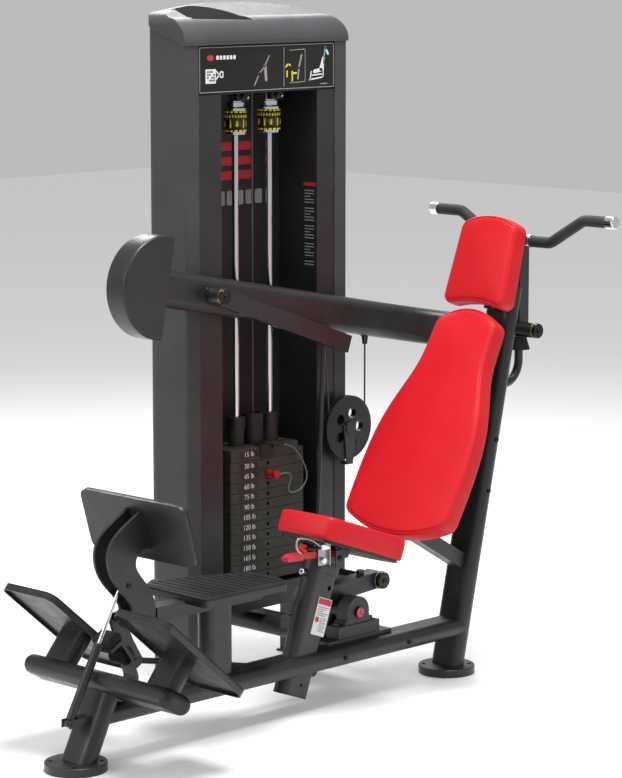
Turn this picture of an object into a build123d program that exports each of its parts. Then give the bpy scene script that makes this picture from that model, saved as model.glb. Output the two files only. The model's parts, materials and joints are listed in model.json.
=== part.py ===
"""Selectorised press machine: frame, weight tower, press arm, foot-lever assist, seat and pads.

Millimetres. X = 0 is the user's mid plane, +X is the user's left, +Y is rearwards, +Z is up.
The origin is on the floor at the centre of the front foot.
"""
from build123d import *
import math
import os

# ---- driving dimensions ----------------------------------------------------------------
STEEL = 4.0                 # wall of the frame tubes
OVAL_W, OVAL_T = 100, 50    # flat-oval frame tube
FOOT_R, FOOT_T = 78, 22
FOOT_PITCH_R, FOOT_HOLE_R = 63, 6
REAR_FOOT_Y = 1363
BEAM_Z = 128                # centre height of the main beam
FRONT_LEAN = 26.5             # front post, degrees from vertical
REAR_LEAN = 12.8            # rear post
SEAT_LEAN = 20              # seat post, and the seat's own tilt
BACK_LEAN = 30
HEAD_LEAN = 18

CROSSBAR = (100, 196)       # centre (Y, Z) of the foot crossbar
CROSSBAR_HALF = 242
STEP_POST_Y = 473
CROSS_TUBE_Y = 1062         # frame tube that runs under the tower

TOWER_FACE_X, TOWER_BACK_X = -360, -520
TOWER_Y0, TOWER_Y1 = 722, 1337
OPENING_Y0, OPENING_Y1 = 854, 1220
LID_FRONT_Z, LID_BACK_Z = 1731, 1788   # lower edge of the lid, rising to the back
HEADER_Z = 1604
UPRIGHT_TOP = 1600
BASE_Z0, BASE_Z1 = 180, 243

STACK_X, STACK_Y = -434, 1040
PLATE_W, PLATE_D, PLATE_T, PLATE_PITCH = 284, 117, 27, 28.5
PLATES_BELOW = 12
PLATE_BOTTOM = 255
LIFTED_BELOW = 2            # plates above the pin, under the top plate
ROD_R, ROD_SPAN = 9.5, 130

ARM_X = -330                # mid plane of the press arm
ARM_PIVOT = (757, 1077)     # (Y, Z)
ARM_SLOPE = 10.85           # degrees down to the rear
HUB = (1660, 930)           # (Y, Z) of the handle yoke's hinge
BAR_Z, GRIP_Z = 1178, 1248
BAR_Y = 1665
BAR_HALF = 305              # half length of the bar between its chrome ends
WEIGHT_FLAT_Y, WEIGHT_R, WEIGHT_DEPTH = 584, 137, 155   # counterweight on the arm

PIN_Z = PLATE_BOTTOM + PLATE_PITCH * (PLATES_BELOW - LIFTED_BELOW) + PLATE_T / 2
LANYARD_R = 2.2
LANYARD = [(-367.4, 1092, 627.4), (-366, 1125, 625), (-361, 1164, 575), (-360, 1184, 524),
           (-361, 1150, 489), (-363, 1100, 491), (-361, 1122, 541), (-354.5, 1088, 552),
           (-348, 1053.4, 551.5)]

CABLE_R = 2.5
PULLEY_X, PULLEY = -335, (1313, 654)
PULLEY_R, GROOVE_R = 90, 70
TOP_PULLEY_Z, TOP_PULLEY_R = 1665, 40   # radius at the cable's centre
FITTING_Y = 1383

LEVER_PIVOT = (200, 336)
LEVER_TAIL = (262, 214)
SPRING_EYE = (-22, 120)
SPRING_PIN = (155, 440)
ROCKER_HUB = (1005, 228)
ROCKER_BOSS = (1145, 286)
ROCKER_FOOT = (900, 75)
LINK_X = -293               # plane of the assist rod
CRANK_ROD_PIN = (1176, 927)
CRANK_TIP = (1238, 906)

SEAT_FRONT = (797, 531)     # middle of the seat top's front edge (Y, Z)
SEAT_T, BOARD_T = 60, 8     # cushion and the board under it
RELEASE_PIVOT = (900, 408)

RUN = 0.05                  # radial running clearance
GAP = 0.4                   # between faces of different bodies

parts = {}


# ---- helpers -----------------------------------------------------------------------------
def oval(width, thick):
    """Flat-oval outline, long side along local x."""
    return SlotOverall(width, thick)


def run(section, start, end, wide):
    """Extrude a section from start to end, its local x along wide."""
    axis = Vector(*end) - Vector(*start)
    return extrude(Plane(Vector(*start), Vector(*wide), axis) * section, axis.length)


def tube(start, end, wide, width=OVAL_W, thick=OVAL_T, wall=STEEL):
    """Flat-oval tube: its outer form and the hollow tube."""
    outer = run(oval(width, thick), start, end, wide)
    inner = run(oval(width - 2 * wall, thick - 2 * wall), start, end, wide)
    return outer, outer - inner


def pipe(start, end, radius, bore=0):
    """Round bar, or round tube with a bore radius."""
    bar = run(Circle(radius), start, end, across(start, end))
    return bar - run(Circle(bore), start, end, across(start, end)) if bore else bar


def across(start, end):
    """A direction square to the line from start to end."""
    axis = (Vector(*end) - Vector(*start)).normalized()
    other = Vector(0, 0, 1) if abs(axis.Z) < 0.9 else Vector(1, 0, 0)
    return tuple(axis.cross(other).normalized())


def block(x0, x1, y0, y1, z0, z1):
    """Box between limits."""
    return Pos((x0 + x1) / 2, (y0 + y1) / 2, (z0 + z1) / 2) * Box(x1 - x0, y1 - y0, z1 - z0)


def yz(x, points):
    """Plate outline through (Y, Z) points in the plane at x."""
    return Plane((x, 0, 0), (0, 1, 0), (1, 0, 0)) * make_face(Polyline(*points, close=True))


def plate_yz(x0, x1, points):
    """Flat plate between x0 and x1 with a polygonal outline in YZ."""
    return extrude(yz(x0, points), x1 - x0, dir=(1, 0, 0))


def bolt(pos, axis, head_r=6.5, head_t=4.5):
    """Button-head screw with a hexagon socket, standing on pos."""
    plane = Plane(Vector(*pos), across(pos, tuple(Vector(*pos) + Vector(*axis))), Vector(*axis))
    head = extrude(plane * Circle(head_r), head_t)
    head = fillet(head.edges().sort_by(lambda e: (e.center() - Vector(*pos)).length)[-1:], 2.2)
    return head - extrude(plane.offset(head_t - 2.5) * RegularPolygon(2.6, 6), 4)


def group(solids):
    """Separate solids in one node."""
    return Compound(list(solids))


def rear_axis(z):
    """Y of the rear post's axis at height z."""
    return REAR_FOOT_Y + z * math.tan(math.radians(REAR_LEAN))


def seat_axis(z):
    """Y of the seat post's axis at height z."""
    return 850 + (z - 341) * math.tan(math.radians(SEAT_LEAN))


def arm_axis(y):
    """Height of the press arm's centre line at y."""
    return ARM_PIVOT[1] - (y - ARM_PIVOT[0]) * math.tan(math.radians(ARM_SLOPE))


# ---- frame -------------------------------------------------------------------------------
def foot(y):
    """Anchor disc with four holes for floor bolts."""
    disc = Pos(0, y, FOOT_T / 2) * Cylinder(FOOT_R, FOOT_T)
    disc = chamfer(disc.edges().group_by(Axis.Z)[-1], 2)
    for k in range(4):
        angle = math.radians(45 + 90 * k)
        spot = Pos(FOOT_PITCH_R * math.cos(angle), y + FOOT_PITCH_R * math.sin(angle), FOOT_T / 2)
        disc -= spot * Cylinder(FOOT_HOLE_R, FOOT_T + 2)
    return disc


def floor_cut():
    """Everything below the top of the feet."""
    return block(-400, 400, -400, 1800, -200, FOOT_T)


def frame():
    """Posts, beams and the tubes between them."""
    lean = math.tan(math.radians(FRONT_LEAN))
    beam_o, beam = tube((0, BEAM_Z * lean, BEAM_Z), (0, rear_axis(BEAM_Z), BEAM_Z), (1, 0, 0))
    rear_top = 1052
    rear_o, rear = tube((0, rear_axis(0), 0), (0, rear_axis(rear_top), rear_top), (1, 0, 0))
    front_o, front = tube((0, 0, 0), (0, CROSSBAR[1] * lean, CROSSBAR[1]), (1, 0, 0))
    long_side = (0, -math.cos(math.radians(30)), math.sin(math.radians(30)))
    bar_o, bar = tube((-CROSSBAR_HALF, *CROSSBAR), (CROSSBAR_HALF, *CROSSBAR), long_side)
    seat_o, seat = tube((0, seat_axis(52), 52), (0, seat_axis(372), 372), (0, 1, 0), 106)
    step = tube((0, STEP_POST_Y, BEAM_Z), (0, STEP_POST_Y, 366), (0, 1, 0))[1]
    cross = tube((0, CROSS_TUBE_Y, BEAM_Z), (-512, CROSS_TUBE_Y, BEAM_Z), (0, 1, 0))[1]

    parts["main_beam"] = beam - rear_o - front_o - seat_o
    parts["base_tubes"] = group([front - floor_cut() - bar_o, bar, step - beam_o,
                                 cross - beam_o])
    parts["rear_post"] = rear - floor_cut()
    parts["seat_post"] = seat - pipe((0, 868, 318), (60, 868, 318), 7)
    parts["tube_caps"] = group(end_caps(long_side) + [rear_cap(rear_top), seat_foot_cap()])


def end_caps(long_side):
    """Domed plastic caps of the crossbar."""
    caps = []
    for side in (-1, 1):
        face = side * CROSSBAR_HALF
        cap = run(oval(OVAL_W, OVAL_T), (face, *CROSSBAR), (face + side * 25, *CROSSBAR), long_side)
        outer = cap.faces().sort_by(Axis.X)[-1 if side > 0 else 0]
        caps.append(fillet(outer.edges(), 22))
    return caps


def rear_cap(z):
    """Cap on the top of the rear post."""
    tip = Vector(0, math.sin(math.radians(REAR_LEAN)), math.cos(math.radians(REAR_LEAN))) * 6
    base = Vector(0, rear_axis(z), z)
    return run(oval(OVAL_W, OVAL_T), tuple(base), tuple(base + tip), (1, 0, 0))


def seat_foot_cap():
    """Cap in the lower end of the seat post."""
    tip = Vector(0, math.sin(math.radians(SEAT_LEAN)), math.cos(math.radians(SEAT_LEAN))) * -5
    base = Vector(0, seat_axis(52), 52)
    return run(oval(106, OVAL_T), tuple(base), tuple(base + tip), (0, 1, 0))


def frame_bolts():
    """Button-head screws on the frame's left side."""
    spots = [(OVAL_W / 2, y, BEAM_Z) for y in (905, 1155)]
    heads = [bolt((x, y, z), (1, 0, 0)) for x, y, z in spots]
    for z in (500, 640):
        heads.append(bolt((OVAL_W / 2, rear_axis(z), z), (1, 0, 0)))
    heads.append(bolt((OVAL_T / 2, seat_axis(75) + 8, 75), (1, 0, 0), 4.5, 3))
    return group(heads)


# ---- footrests, step and their treads -------------------------------------------------------
FOOTREST_TILT = 40.5
FOOTREST_L, FOOTREST_W = 350, 190
FOOTREST_X, STUB_X = 206, 188


def footrest_plane(side, lift=0.0):
    """Mid plane of a footrest: local x across, local y down to the heel."""
    centre = Vector(side * FOOTREST_X, 155, 297)
    tilt = math.radians(FOOTREST_TILT)
    plane = Plane(centre, (1, 0, 0), (0, math.sin(tilt), math.cos(tilt)))
    return plane.offset(lift)


def footrest(side):
    """Sheet-steel footrest on a flat-oval stub from the crossbar."""
    outline = RectangleRounded(FOOTREST_W, FOOTREST_L, 28)
    sheet = extrude(footrest_plane(side) * outline, 6)
    rim = outline - offset(outline, -3)
    sheet += extrude(footrest_plane(side, -8) * rim, 8)
    plane = footrest_plane(side)
    base = Vector(side * STUB_X, *CROSSBAR)
    reach = (plane.origin - base).dot(plane.z_dir)
    stub = tube(tuple(base), tuple(base + plane.z_dir * reach), (1, 0, 0), 98, 46)[1]
    inside = extrude(footrest_plane(side) * Rectangle(400, 500), 60)
    bar = run(oval(OVAL_W, OVAL_T), (-CROSSBAR_HALF, *CROSSBAR), (CROSSBAR_HALF, *CROSSBAR),
              (0, -math.cos(math.radians(30)), math.sin(math.radians(30))))
    return sheet + (stub - inside - bar)


def ribbed(plane, outline, thick, pitch, rows, length, width=4.5):
    """Rubber tread with rows of raised bars."""
    pad = extrude(plane * outline, thick)
    rib = Rectangle(length, width)
    for k in range(rows):
        pad += extrude(plane.offset(thick) * (Pos(0, (k - (rows - 1) / 2) * pitch) * rib), 1.5)
    return pad


def footrest_tread(side):
    """Tread pad on a footrest."""
    outline = RectangleRounded(FOOTREST_W, FOOTREST_L, 28)
    return ribbed(footrest_plane(side, 6), outline, 5, 30, 11, 150)


def step_outline():
    """Five-sided step with rounded corners, in the floor plan."""
    points = [(95, 348), (96, 640), (30, 668), (-62, 662), (-178, 420), (-139, 361)]
    return fillet(make_face(Polyline(*points, close=True)).vertices(), 14)


def step():
    """Step platform, its tread and the arm that carries the foot lever."""
    outline = step_outline()
    tray = extrude(Plane.XY.offset(368) * outline, 8) + extrude(
        Plane.XY.offset(360) * (outline - offset(outline, -4)), 8)
    arm_o = block(-24, 24, 252, 620, 330, 367)
    arm = arm_o - block(-20, 20, 250, 630, 334, 363)
    post = run(oval(OVAL_W, OVAL_T), (0, STEP_POST_Y, BEAM_Z), (0, STEP_POST_Y, 366), (0, 1, 0))
    parts["step_arm"] = arm - post + lever_bracket()
    tread = extrude(Plane.XY.offset(376) * outline, 6) + step_ribs()
    return tray - arm_o - post, tread


def step_ribs():
    """Raised bars on the step's tread."""
    ribs = Sketch()
    for k in range(12):
        y = 372 + 24 * k
        left = -150 if y < 440 else -150 + (y - 440) * 0.42
        ribs += Pos((left + 78) / 2, y) * Rectangle(78 - left, 5)
    return extrude(Plane.XY.offset(381.8) * ribs, 1.7)


def lever_bracket():
    """Barrel at the front of the step arm that holds the foot lever's axle."""
    barrel = pipe((-16, *LEVER_PIVOT), (16, *LEVER_PIVOT), 20, 10)
    neck = block(-16, 16, 212, 255, 334, 363) - pipe((-17, *LEVER_PIVOT), (17, *LEVER_PIVOT), 20)
    return barrel + neck


# ---- foot lever assist ------------------------------------------------------------------------
def lever_cheek(x0, x1):
    """One curved side plate of the foot lever."""
    outer = [(164, 330), (160, 392), (134, 421), (102, 461), (87, 507), (93, 543), (117, 571),
             (156, 597), (204, 626)]
    inner = [(236, 512), (200, 520), (183, 505), (179, 487), (190, 463), (224, 422), (238, 394),
             (236, 330), (200, 304)]
    face = make_face([Polyline((200, 304), (164, 330)), Spline(*outer), Line(outer[-1], inner[0]),
                      Spline(*inner[:-1]), Polyline(inner[-2], inner[-1])])
    plate = extrude(Plane((x0, 0, 0), (0, 1, 0), (1, 0, 0)) * face, x1 - x0)
    plate -= extrude(lever_plane(-8.2) * Rectangle(500, 500), 80)
    return plate - pipe((x0 - 1, *LEVER_PIVOT), (x1 + 1, *LEVER_PIVOT), 10)


def lever_plane(lift=0.0):
    """Face of the pedal that the foot pushes: local x across, local y down."""
    plane = Plane((0, 221, 572), (1, 0, 0), (0, math.cos(math.radians(15.8)),
                                            math.sin(math.radians(15.8))))
    return plane.offset(lift)


def foot_lever():
    """Pedal, tread, side plates, axle and tail."""
    outline = Pos(-6, 0) * RectangleRounded(378, 164, 24)
    pin = pipe((-28, *SPRING_PIN), (28, *SPRING_PIN), 5)
    parts["lever_pedal"] = extrude(lever_plane(-8) * outline, 8)
    parts["lever_tread"] = ribbed(lever_plane(), outline, 6, 27, 5, 316)
    tail = plate_yz(-74, -66, [(180, 350), (220, 352), (232, 316), (252, 272), (282, 222), (280, 204),
                               (266, 195), (250, 200), (218, 244), (192, 290), (178, 328)])
    tail -= pipe((-80, *LEVER_PIVOT), (-60, *LEVER_PIVOT), 10)
    tail -= pipe((-80, *LEVER_TAIL), (-60, *LEVER_TAIL), 8)
    parts["lever_plates"] = group([lever_cheek(20, 28) - pin, lever_cheek(-28, -20) - pin, tail])
    axle = pipe((-74, *LEVER_PIVOT), (28, *LEVER_PIVOT), 10 - RUN)
    axle += pipe((28, *LEVER_PIVOT), (36, *LEVER_PIVOT), 17)
    parts["lever_pins"] = group([axle, pin + bolt((28, *SPRING_PIN), (1, 0, 0), 7, 4)])


def between(a, b, x, near, far):
    """Two points on the line from a to b, measured from a, in the plane at x."""
    line = Vector(x, *b) - Vector(x, *a)
    unit = line.normalized()
    start = Vector(x, *a)
    return tuple(start + unit * near), tuple(start + unit * far)


def gas_spring():
    """Gas spring that returns the foot lever."""
    low, high = between(SPRING_EYE, SPRING_PIN, 0, 9, 208)
    body = pipe(low, high, 11)
    body = chamfer(body.edges().filter_by(GeomType.CIRCLE), 1.5)
    eye = pipe((-7, *SPRING_EYE), (7, *SPRING_EYE), 10)
    hole = pipe((-10, *SPRING_EYE), (10, *SPRING_EYE), 5 + RUN)
    bore = pipe(*between(SPRING_EYE, SPRING_PIN, 0, 40, 215), 6)
    parts["gas_cylinder"] = body + eye - hole - bore
    rod = pipe(*between(SPRING_EYE, SPRING_PIN, 0, 60, 362), 5)
    tip = pipe((-6, *SPRING_PIN), (6, *SPRING_PIN), 11)
    clear = pipe((-8, *SPRING_PIN), (8, *SPRING_PIN), 6.2)
    parts["gas_rod"] = rod + tip - clear
    lean = math.radians(FRONT_LEAN)
    face = Vector(0, 120 * math.tan(lean), 120) - Vector(0, math.cos(lean), -math.sin(lean)) * 25
    ears = [block(-16, -12, -32, 70, 110, 130), block(12, 16, -32, 70, 110, 130)]
    bridge = block(-16, 16, 6, 70, 110, 130)
    post = run(oval(OVAL_W, OVAL_T), (0, 0, 0), (0, 150 * math.tan(lean), 150), (1, 0, 0))
    clevis = ears[0] + ears[1] + bridge - post
    clevis -= block(-20, 20, face.Y + 14, 140, 90, 150)
    return clevis + pipe((-19, *SPRING_EYE), (19, *SPRING_EYE), 5)


def rubber_stop():
    """Rubber block and drum on a bracket from the main beam, under the foot lever."""
    pad = Plane((-30, 131, 301), (1, 0, 0), (0, -0.5, 0.866)) * chamfered_block(62, 42, 24, 5)
    drum = pipe((-50, 178, 252), (-8, 178, 252), 24)
    leg = plate_yz(-42, 6, [(112, 278), (150, 298), (186, 252), (204, 200), (206, 153), (198, 153),
                            (196, 200), (178, 246), (148, 288), (116, 270)])
    return leg - pad - drum, [pad, drum]


def chamfered_block(length, width, height, cut):
    """Block with its top edges cut back."""
    body = Box(length, width, height)
    return chamfer(body.faces().sort_by(Axis.Z)[-1].edges(), cut)


def push_rod():
    """Rod from the lever's tail to the rocker."""
    ends = (LEVER_TAIL, ROCKER_FOOT)
    x = -84
    total = (Vector(x, *ROCKER_FOOT) - Vector(x, *LEVER_TAIL)).length
    bar = pipe(*between(*ends, x, 14, total - 14), 8)
    front = pipe((x - 8, *LEVER_TAIL), (x + 8, *LEVER_TAIL), 15)
    rear = pipe((x - 8, *ROCKER_FOOT), (x + 8, *ROCKER_FOOT), 15)
    pin = pipe((x - 8, *LEVER_TAIL), (-62, *LEVER_TAIL), 8 - RUN)
    hole = pipe((x - 10, *ROCKER_FOOT), (x + 10, *ROCKER_FOOT), 9.5)
    parts["push_rod"] = bar + front + rear + pin - hole


def rocker():
    """Rocker on two pillow blocks: it lifts the assist rod when the pedal goes down."""
    shaft = pipe((-222, *ROCKER_HUB), (8, *ROCKER_HUB), 15 - RUN)
    hub = pipe((-98, *ROCKER_HUB), (-48, *ROCKER_HUB), 30, 15 - RUN)
    y, z = ROCKER_BOSS
    arm = run(Rectangle(42, 46), (-74, 925, z - 14), (-74, y, z), (1, 0, 0))
    arm -= run(Rectangle(34, 38), (-74, 929, z - 14), (-74, y, z), (1, 0, 0))
    web = plate_yz(-80, -68, [(970, 262), (975, 225), (1035, 225), (1075, 262)])
    web -= pipe((-98, *ROCKER_HUB), (-48, *ROCKER_HUB), 30)
    boss = pipe((-98, *ROCKER_BOSS), (-46, *ROCKER_BOSS), 24, 10 - RUN)
    clear = pipe((-100, *ROCKER_BOSS), (-40, *ROCKER_BOSS), 24)
    round_hub = pipe((-99, *ROCKER_HUB), (-47, *ROCKER_HUB), 30)
    parts["rocker_arm"] = (arm - clear - round_hub) + boss + hub + (web - arm)
    pin = pipe((-302, *ROCKER_BOSS), (-46, *ROCKER_BOSS), 10 - RUN)
    cap = chamfer(pipe((-46, *ROCKER_BOSS), (-33, *ROCKER_BOSS), 23).edges().group_by(Axis.X)[-1], 2)
    cap += bolt((-33, *ROCKER_BOSS), (1, 0, 0))
    nut = Plane((-74, 1092, z + 20.5), (1, 0, 0), (0, -0.06, 1)) * extrude(RegularPolygon(11, 6), 12)
    parts["rocker_pins"] = group([shaft, pin + cap, nut])
    foot_y, foot_z = ROCKER_FOOT
    line = (Vector(0, *ROCKER_FOOT) - Vector(0, *ROCKER_HUB)).normalized()
    hang = run(Rectangle(36, 9), (-70.5, *ROCKER_HUB), (-70.5, foot_y, foot_z),
               tuple(Vector(1, 0, 0).cross(line)))
    hang += pipe((-75, *ROCKER_FOOT), (-66, *ROCKER_FOOT), 18)
    hang -= round_hub
    parts["rocker_crank"] = hang + pipe((-92, *ROCKER_FOOT), (-75, *ROCKER_FOOT), 8 - RUN)


def pillow_block(x, base_z):
    """Cast pillow block whose base stands at base_z."""
    y, z = ROCKER_HUB
    base = block(x - 24, x + 24, y - 79, y + 79, base_z, base_z + 32)
    step_up = block(x - 20, x + 20, y - 50, y + 50, base_z + 32, z - 20)
    housing = pipe((x - 20, y, z), (x + 20, y, z), 42)
    housing += block(x - 20, x + 20, y - 42, y + 42, base_z + 32, z)
    solid = base + step_up + housing
    solid -= pipe((x - 40, y, z), (x + 40, y, z), 15)
    for shift in (-64, 64):
        solid += Pos(x, y + shift, base_z + 31) * extrude(RegularPolygon(9, 6), 9)
    return solid


def pillow_blocks():
    """Both pillow blocks and the plate under the near one."""
    parts["pillow_blocks"] = group([pillow_block(-19, 165), pillow_block(-190, 165)])
    return [block(-46, 8, 882, 1128, 153, 165), block(-216, -164, 926, 1112, 153, 165)]


def assist_link():
    """Crank on the arm's axis, and the rod that pushes it up."""
    y, z = ARM_PIVOT
    slope = Vector(0, CRANK_TIP[0] - y, CRANK_TIP[1] - z).normalized()
    wide = Vector(1, 0, 0).cross(slope)
    hub = pipe((-301, y, z), (-256, y, z), 22, 15 + RUN)
    end = Vector(-275, *CRANK_TIP) + slope * 14
    bar = run(Rectangle(48, 22), (-275, y, z), tuple(end), tuple(wide))
    hollow = run(Rectangle(42, 16), tuple(Vector(-275, y, z) + slope * 40),
                 tuple(end - slope * 4), tuple(wide))
    bar = bar - hollow - pipe((-305, y, z), (-250, y, z), 22)
    parts["assist_crank"] = hub + bar
    tip = pipe((-345, *CRANK_TIP), (-264, *CRANK_TIP), 8)
    parts["assist_crank"] -= pipe((-290, *CRANK_TIP), (-264, *CRANK_TIP), 8)
    roller = pipe((-345, *CRANK_TIP), (-300, *CRANK_TIP), 9)
    top = (LINK_X, *CRANK_ROD_PIN)
    lug = pipe((-302, *CRANK_ROD_PIN), (-286, *CRANK_ROD_PIN), 6)
    parts["assist_crank"] = group([parts["assist_crank"] + lug, tip + roller])
    low = (LINK_X, *ROCKER_BOSS)
    eye_low = pipe((-301, *ROCKER_BOSS), (-285, *ROCKER_BOSS), 17, 10 + RUN)
    eye_top = pipe((-299.5, *CRANK_ROD_PIN), (-286.5, *CRANK_ROD_PIN), 12)
    rod = pipe(low, top, 6)
    rod -= pipe((-310, *ROCKER_BOSS), (-270, *ROCKER_BOSS), 14)
    parts["assist_rod"] = rod + eye_low + eye_top
    parts["assist_rod"] -= pipe((-310, *CRANK_ROD_PIN), (-280, *CRANK_ROD_PIN), 7.5)


# ---- press arm and handle -------------------------------------------------------------------
def arm_plane(x=0.0, y=ARM_PIVOT[0]):
    """Plane of the arm's centre line: local x along +X, local y down the slope to the rear."""
    slope = math.radians(ARM_SLOPE)
    return Plane((x, y, arm_axis(y)), (1, 0, 0), (0, math.sin(slope), math.cos(slope)))


def press_arm():
    """Flat-oval beam that runs beside the tower and curves in behind the backrest."""
    y, z = ARM_PIVOT
    cos = math.cos(math.radians(ARM_SLOPE))
    front, bend, radius = (WEIGHT_FLAT_Y - y) / cos - 10, (1425 - y) / cos, 235
    start = (ARM_X, front)
    path = Line(start, (ARM_X, bend)) + RadiusArc((ARM_X, bend), (ARM_X + radius, bend + radius),
                                                  radius)
    centre = arm_plane()
    path = centre * path
    base = centre.from_local_coords(Vector(ARM_X, front, 0))
    across_plane = Plane(base, centre.z_dir, centre.y_dir)
    outer = sweep(across_plane * oval(OVAL_W, OVAL_T), path)
    inner = sweep(across_plane * oval(OVAL_W - 8, OVAL_T - 8), path)
    axle_hole = pipe((ARM_X - 40, y, z), (ARM_X + 40, y, z), 24)
    beam = outer - inner - axle_hole
    beam += pipe((ARM_X - 25, y, z), (ARM_X + 26, y, z), 24, 15 + RUN)
    hub_bar = pipe((-120, *HUB), (-78, *HUB), 17)
    parts["press_arm"] = beam - hub_bar
    cap = chamfer(pipe((60.5, *HUB), (72, *HUB), 20.5).edges().group_by(Axis.X)[-1], 2)
    axle = hub_bar + pipe((-78, *HUB), (61, *HUB), 12) + cap + bolt((72, *HUB), (1, 0, 0))
    flat = arm_plane(ARM_X + 11, WEIGHT_FLAT_Y)
    disc = Pos(0, WEIGHT_R - WEIGHT_DEPTH, 0) * (Rotation(0, 90, 0) * Cylinder(WEIGHT_R, 74))
    disc = flat * (disc - Pos(0, WEIGHT_R, 0) * Box(200, 2 * WEIGHT_R, 3 * WEIGHT_R))
    disc = fillet(disc.edges().filter_by(GeomType.CIRCLE), 8)
    parts["counterweight"] = disc - outer
    clamp = Pos(PULLEY_X, FITTING_Y, arm_axis(FITTING_Y) - 46) * Cylinder(11, 10)
    shank = Pos(PULLEY_X, FITTING_Y + CABLE_R, arm_axis(FITTING_Y) - 62) * Cone(7, 10, 24)
    parts["arm_fittings"] = group([axle, shank + clamp - outer])


def arm_pivot():
    """Axle of the press arm and the crank, fixed in the tower's front upright."""
    y, z = ARM_PIVOT
    cap = pipe((-256 + GAP, y, z), (-246, y, z), 21)
    cap = chamfer(cap.edges().group_by(Axis.X)[-1], 2) + bolt((-246, y, z), (1, 0, 0))
    parts["arm_axle"] = pipe((-450, y, z), (-256 + GAP, y, z), 15) + cap


def yoke():
    """Handle post, hub and bar on the arm's rear hinge."""
    y, z = HUB
    hub = pipe((-77, y, z), (60, y, z), 21, 12 + RUN)
    post = block(-13, 13, BAR_Y - 19, BAR_Y + 19, z + 10, BAR_Z)
    bar = bar_path()
    steel = sweep(Plane((-BAR_HALF, BAR_Y, GRIP_Z), (0, 1, 0), (1, 0, 0)) * Circle(12.5), bar)
    parts["yoke_post"] = (post - steel - pipe((-20, y, z), (20, y, z), 15)) + hub
    foam = sweep(Plane((-BAR_HALF, BAR_Y, GRIP_Z), (0, 1, 0), (1, 0, 0)) * Circle(15.8), bar)
    foam -= sweep(Plane((-BAR_HALF, BAR_Y, GRIP_Z), (0, 1, 0), (1, 0, 0)) * Circle(12.5), bar)
    parts["handle_bar"] = steel
    foam -= block(-38, 38, 1500, 1800, 1000, 1400)
    parts["hand_grips"] = group(foam.solids())
    collars = [pipe((s * 24, BAR_Y, BAR_Z), (s * 38, BAR_Y, BAR_Z), 18.5, 12.5) for s in (-1, 1)]
    tip = BAR_HALF + 28
    ends = [pipe((s * BAR_HALF, BAR_Y, GRIP_Z), (s * tip, BAR_Y, GRIP_Z), 17.5) for s in (-1, 1)]
    ends = [fillet(e.edges().sort_by(lambda k: abs(k.center().X))[-1:], 4) for e in ends]
    parts["bar_fittings"] = group(collars + ends)


def bar_path():
    """Cranked handle bar: level at the middle, up to level grips."""
    points = [(-BAR_HALF, GRIP_Z), (-222, GRIP_Z), (-105, BAR_Z), (105, BAR_Z), (222, GRIP_Z),
              (BAR_HALF, GRIP_Z)]
    path = FilletPolyline(*[(x, BAR_Y, z) for x, z in points], radius=45)
    return path


def rest_stop():
    """Bent tube from the rear post with the rubber cup that the arm rests on."""
    y, z = HUB
    low = 782
    start = (0, rear_axis(low) + 20, low)
    path = FilletPolyline(start, (0, y - 2, low), (0, y - 2, 872), radius=62)
    bent = sweep(Plane(Vector(*start), (1, 0, 0), (0, 1, 0)) * Circle(12), path)
    post = run(oval(OVAL_W, OVAL_T), (0, rear_axis(600), 600), (0, rear_axis(900), 900), (1, 0, 0))
    parts["rest_tube"] = bent - post
    cup = Pos(0, y - 2, 874 + 16.5) * Cone(32, 22, 33)
    cup -= Pos(0, y - 2, 874) * Cylinder(12, 30)
    return cup - pipe((-60, y, z), (60, y, z), 21 + GAP)


# ---- weight tower ------------------------------------------------------------------------------
def above_lid():
    """Everything above the sloped lower edge of the lid."""
    points = [(-300, LID_FRONT_Z - 20), (-357, LID_FRONT_Z), (-523, LID_BACK_Z),
              (-600, LID_BACK_Z + 26), (-600, 2000), (-300, 2000)]
    face = Plane.XZ * make_face(Polyline(*points, close=True))
    return Pos(0, 2000, 0) * extrude(face, 2000)


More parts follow.
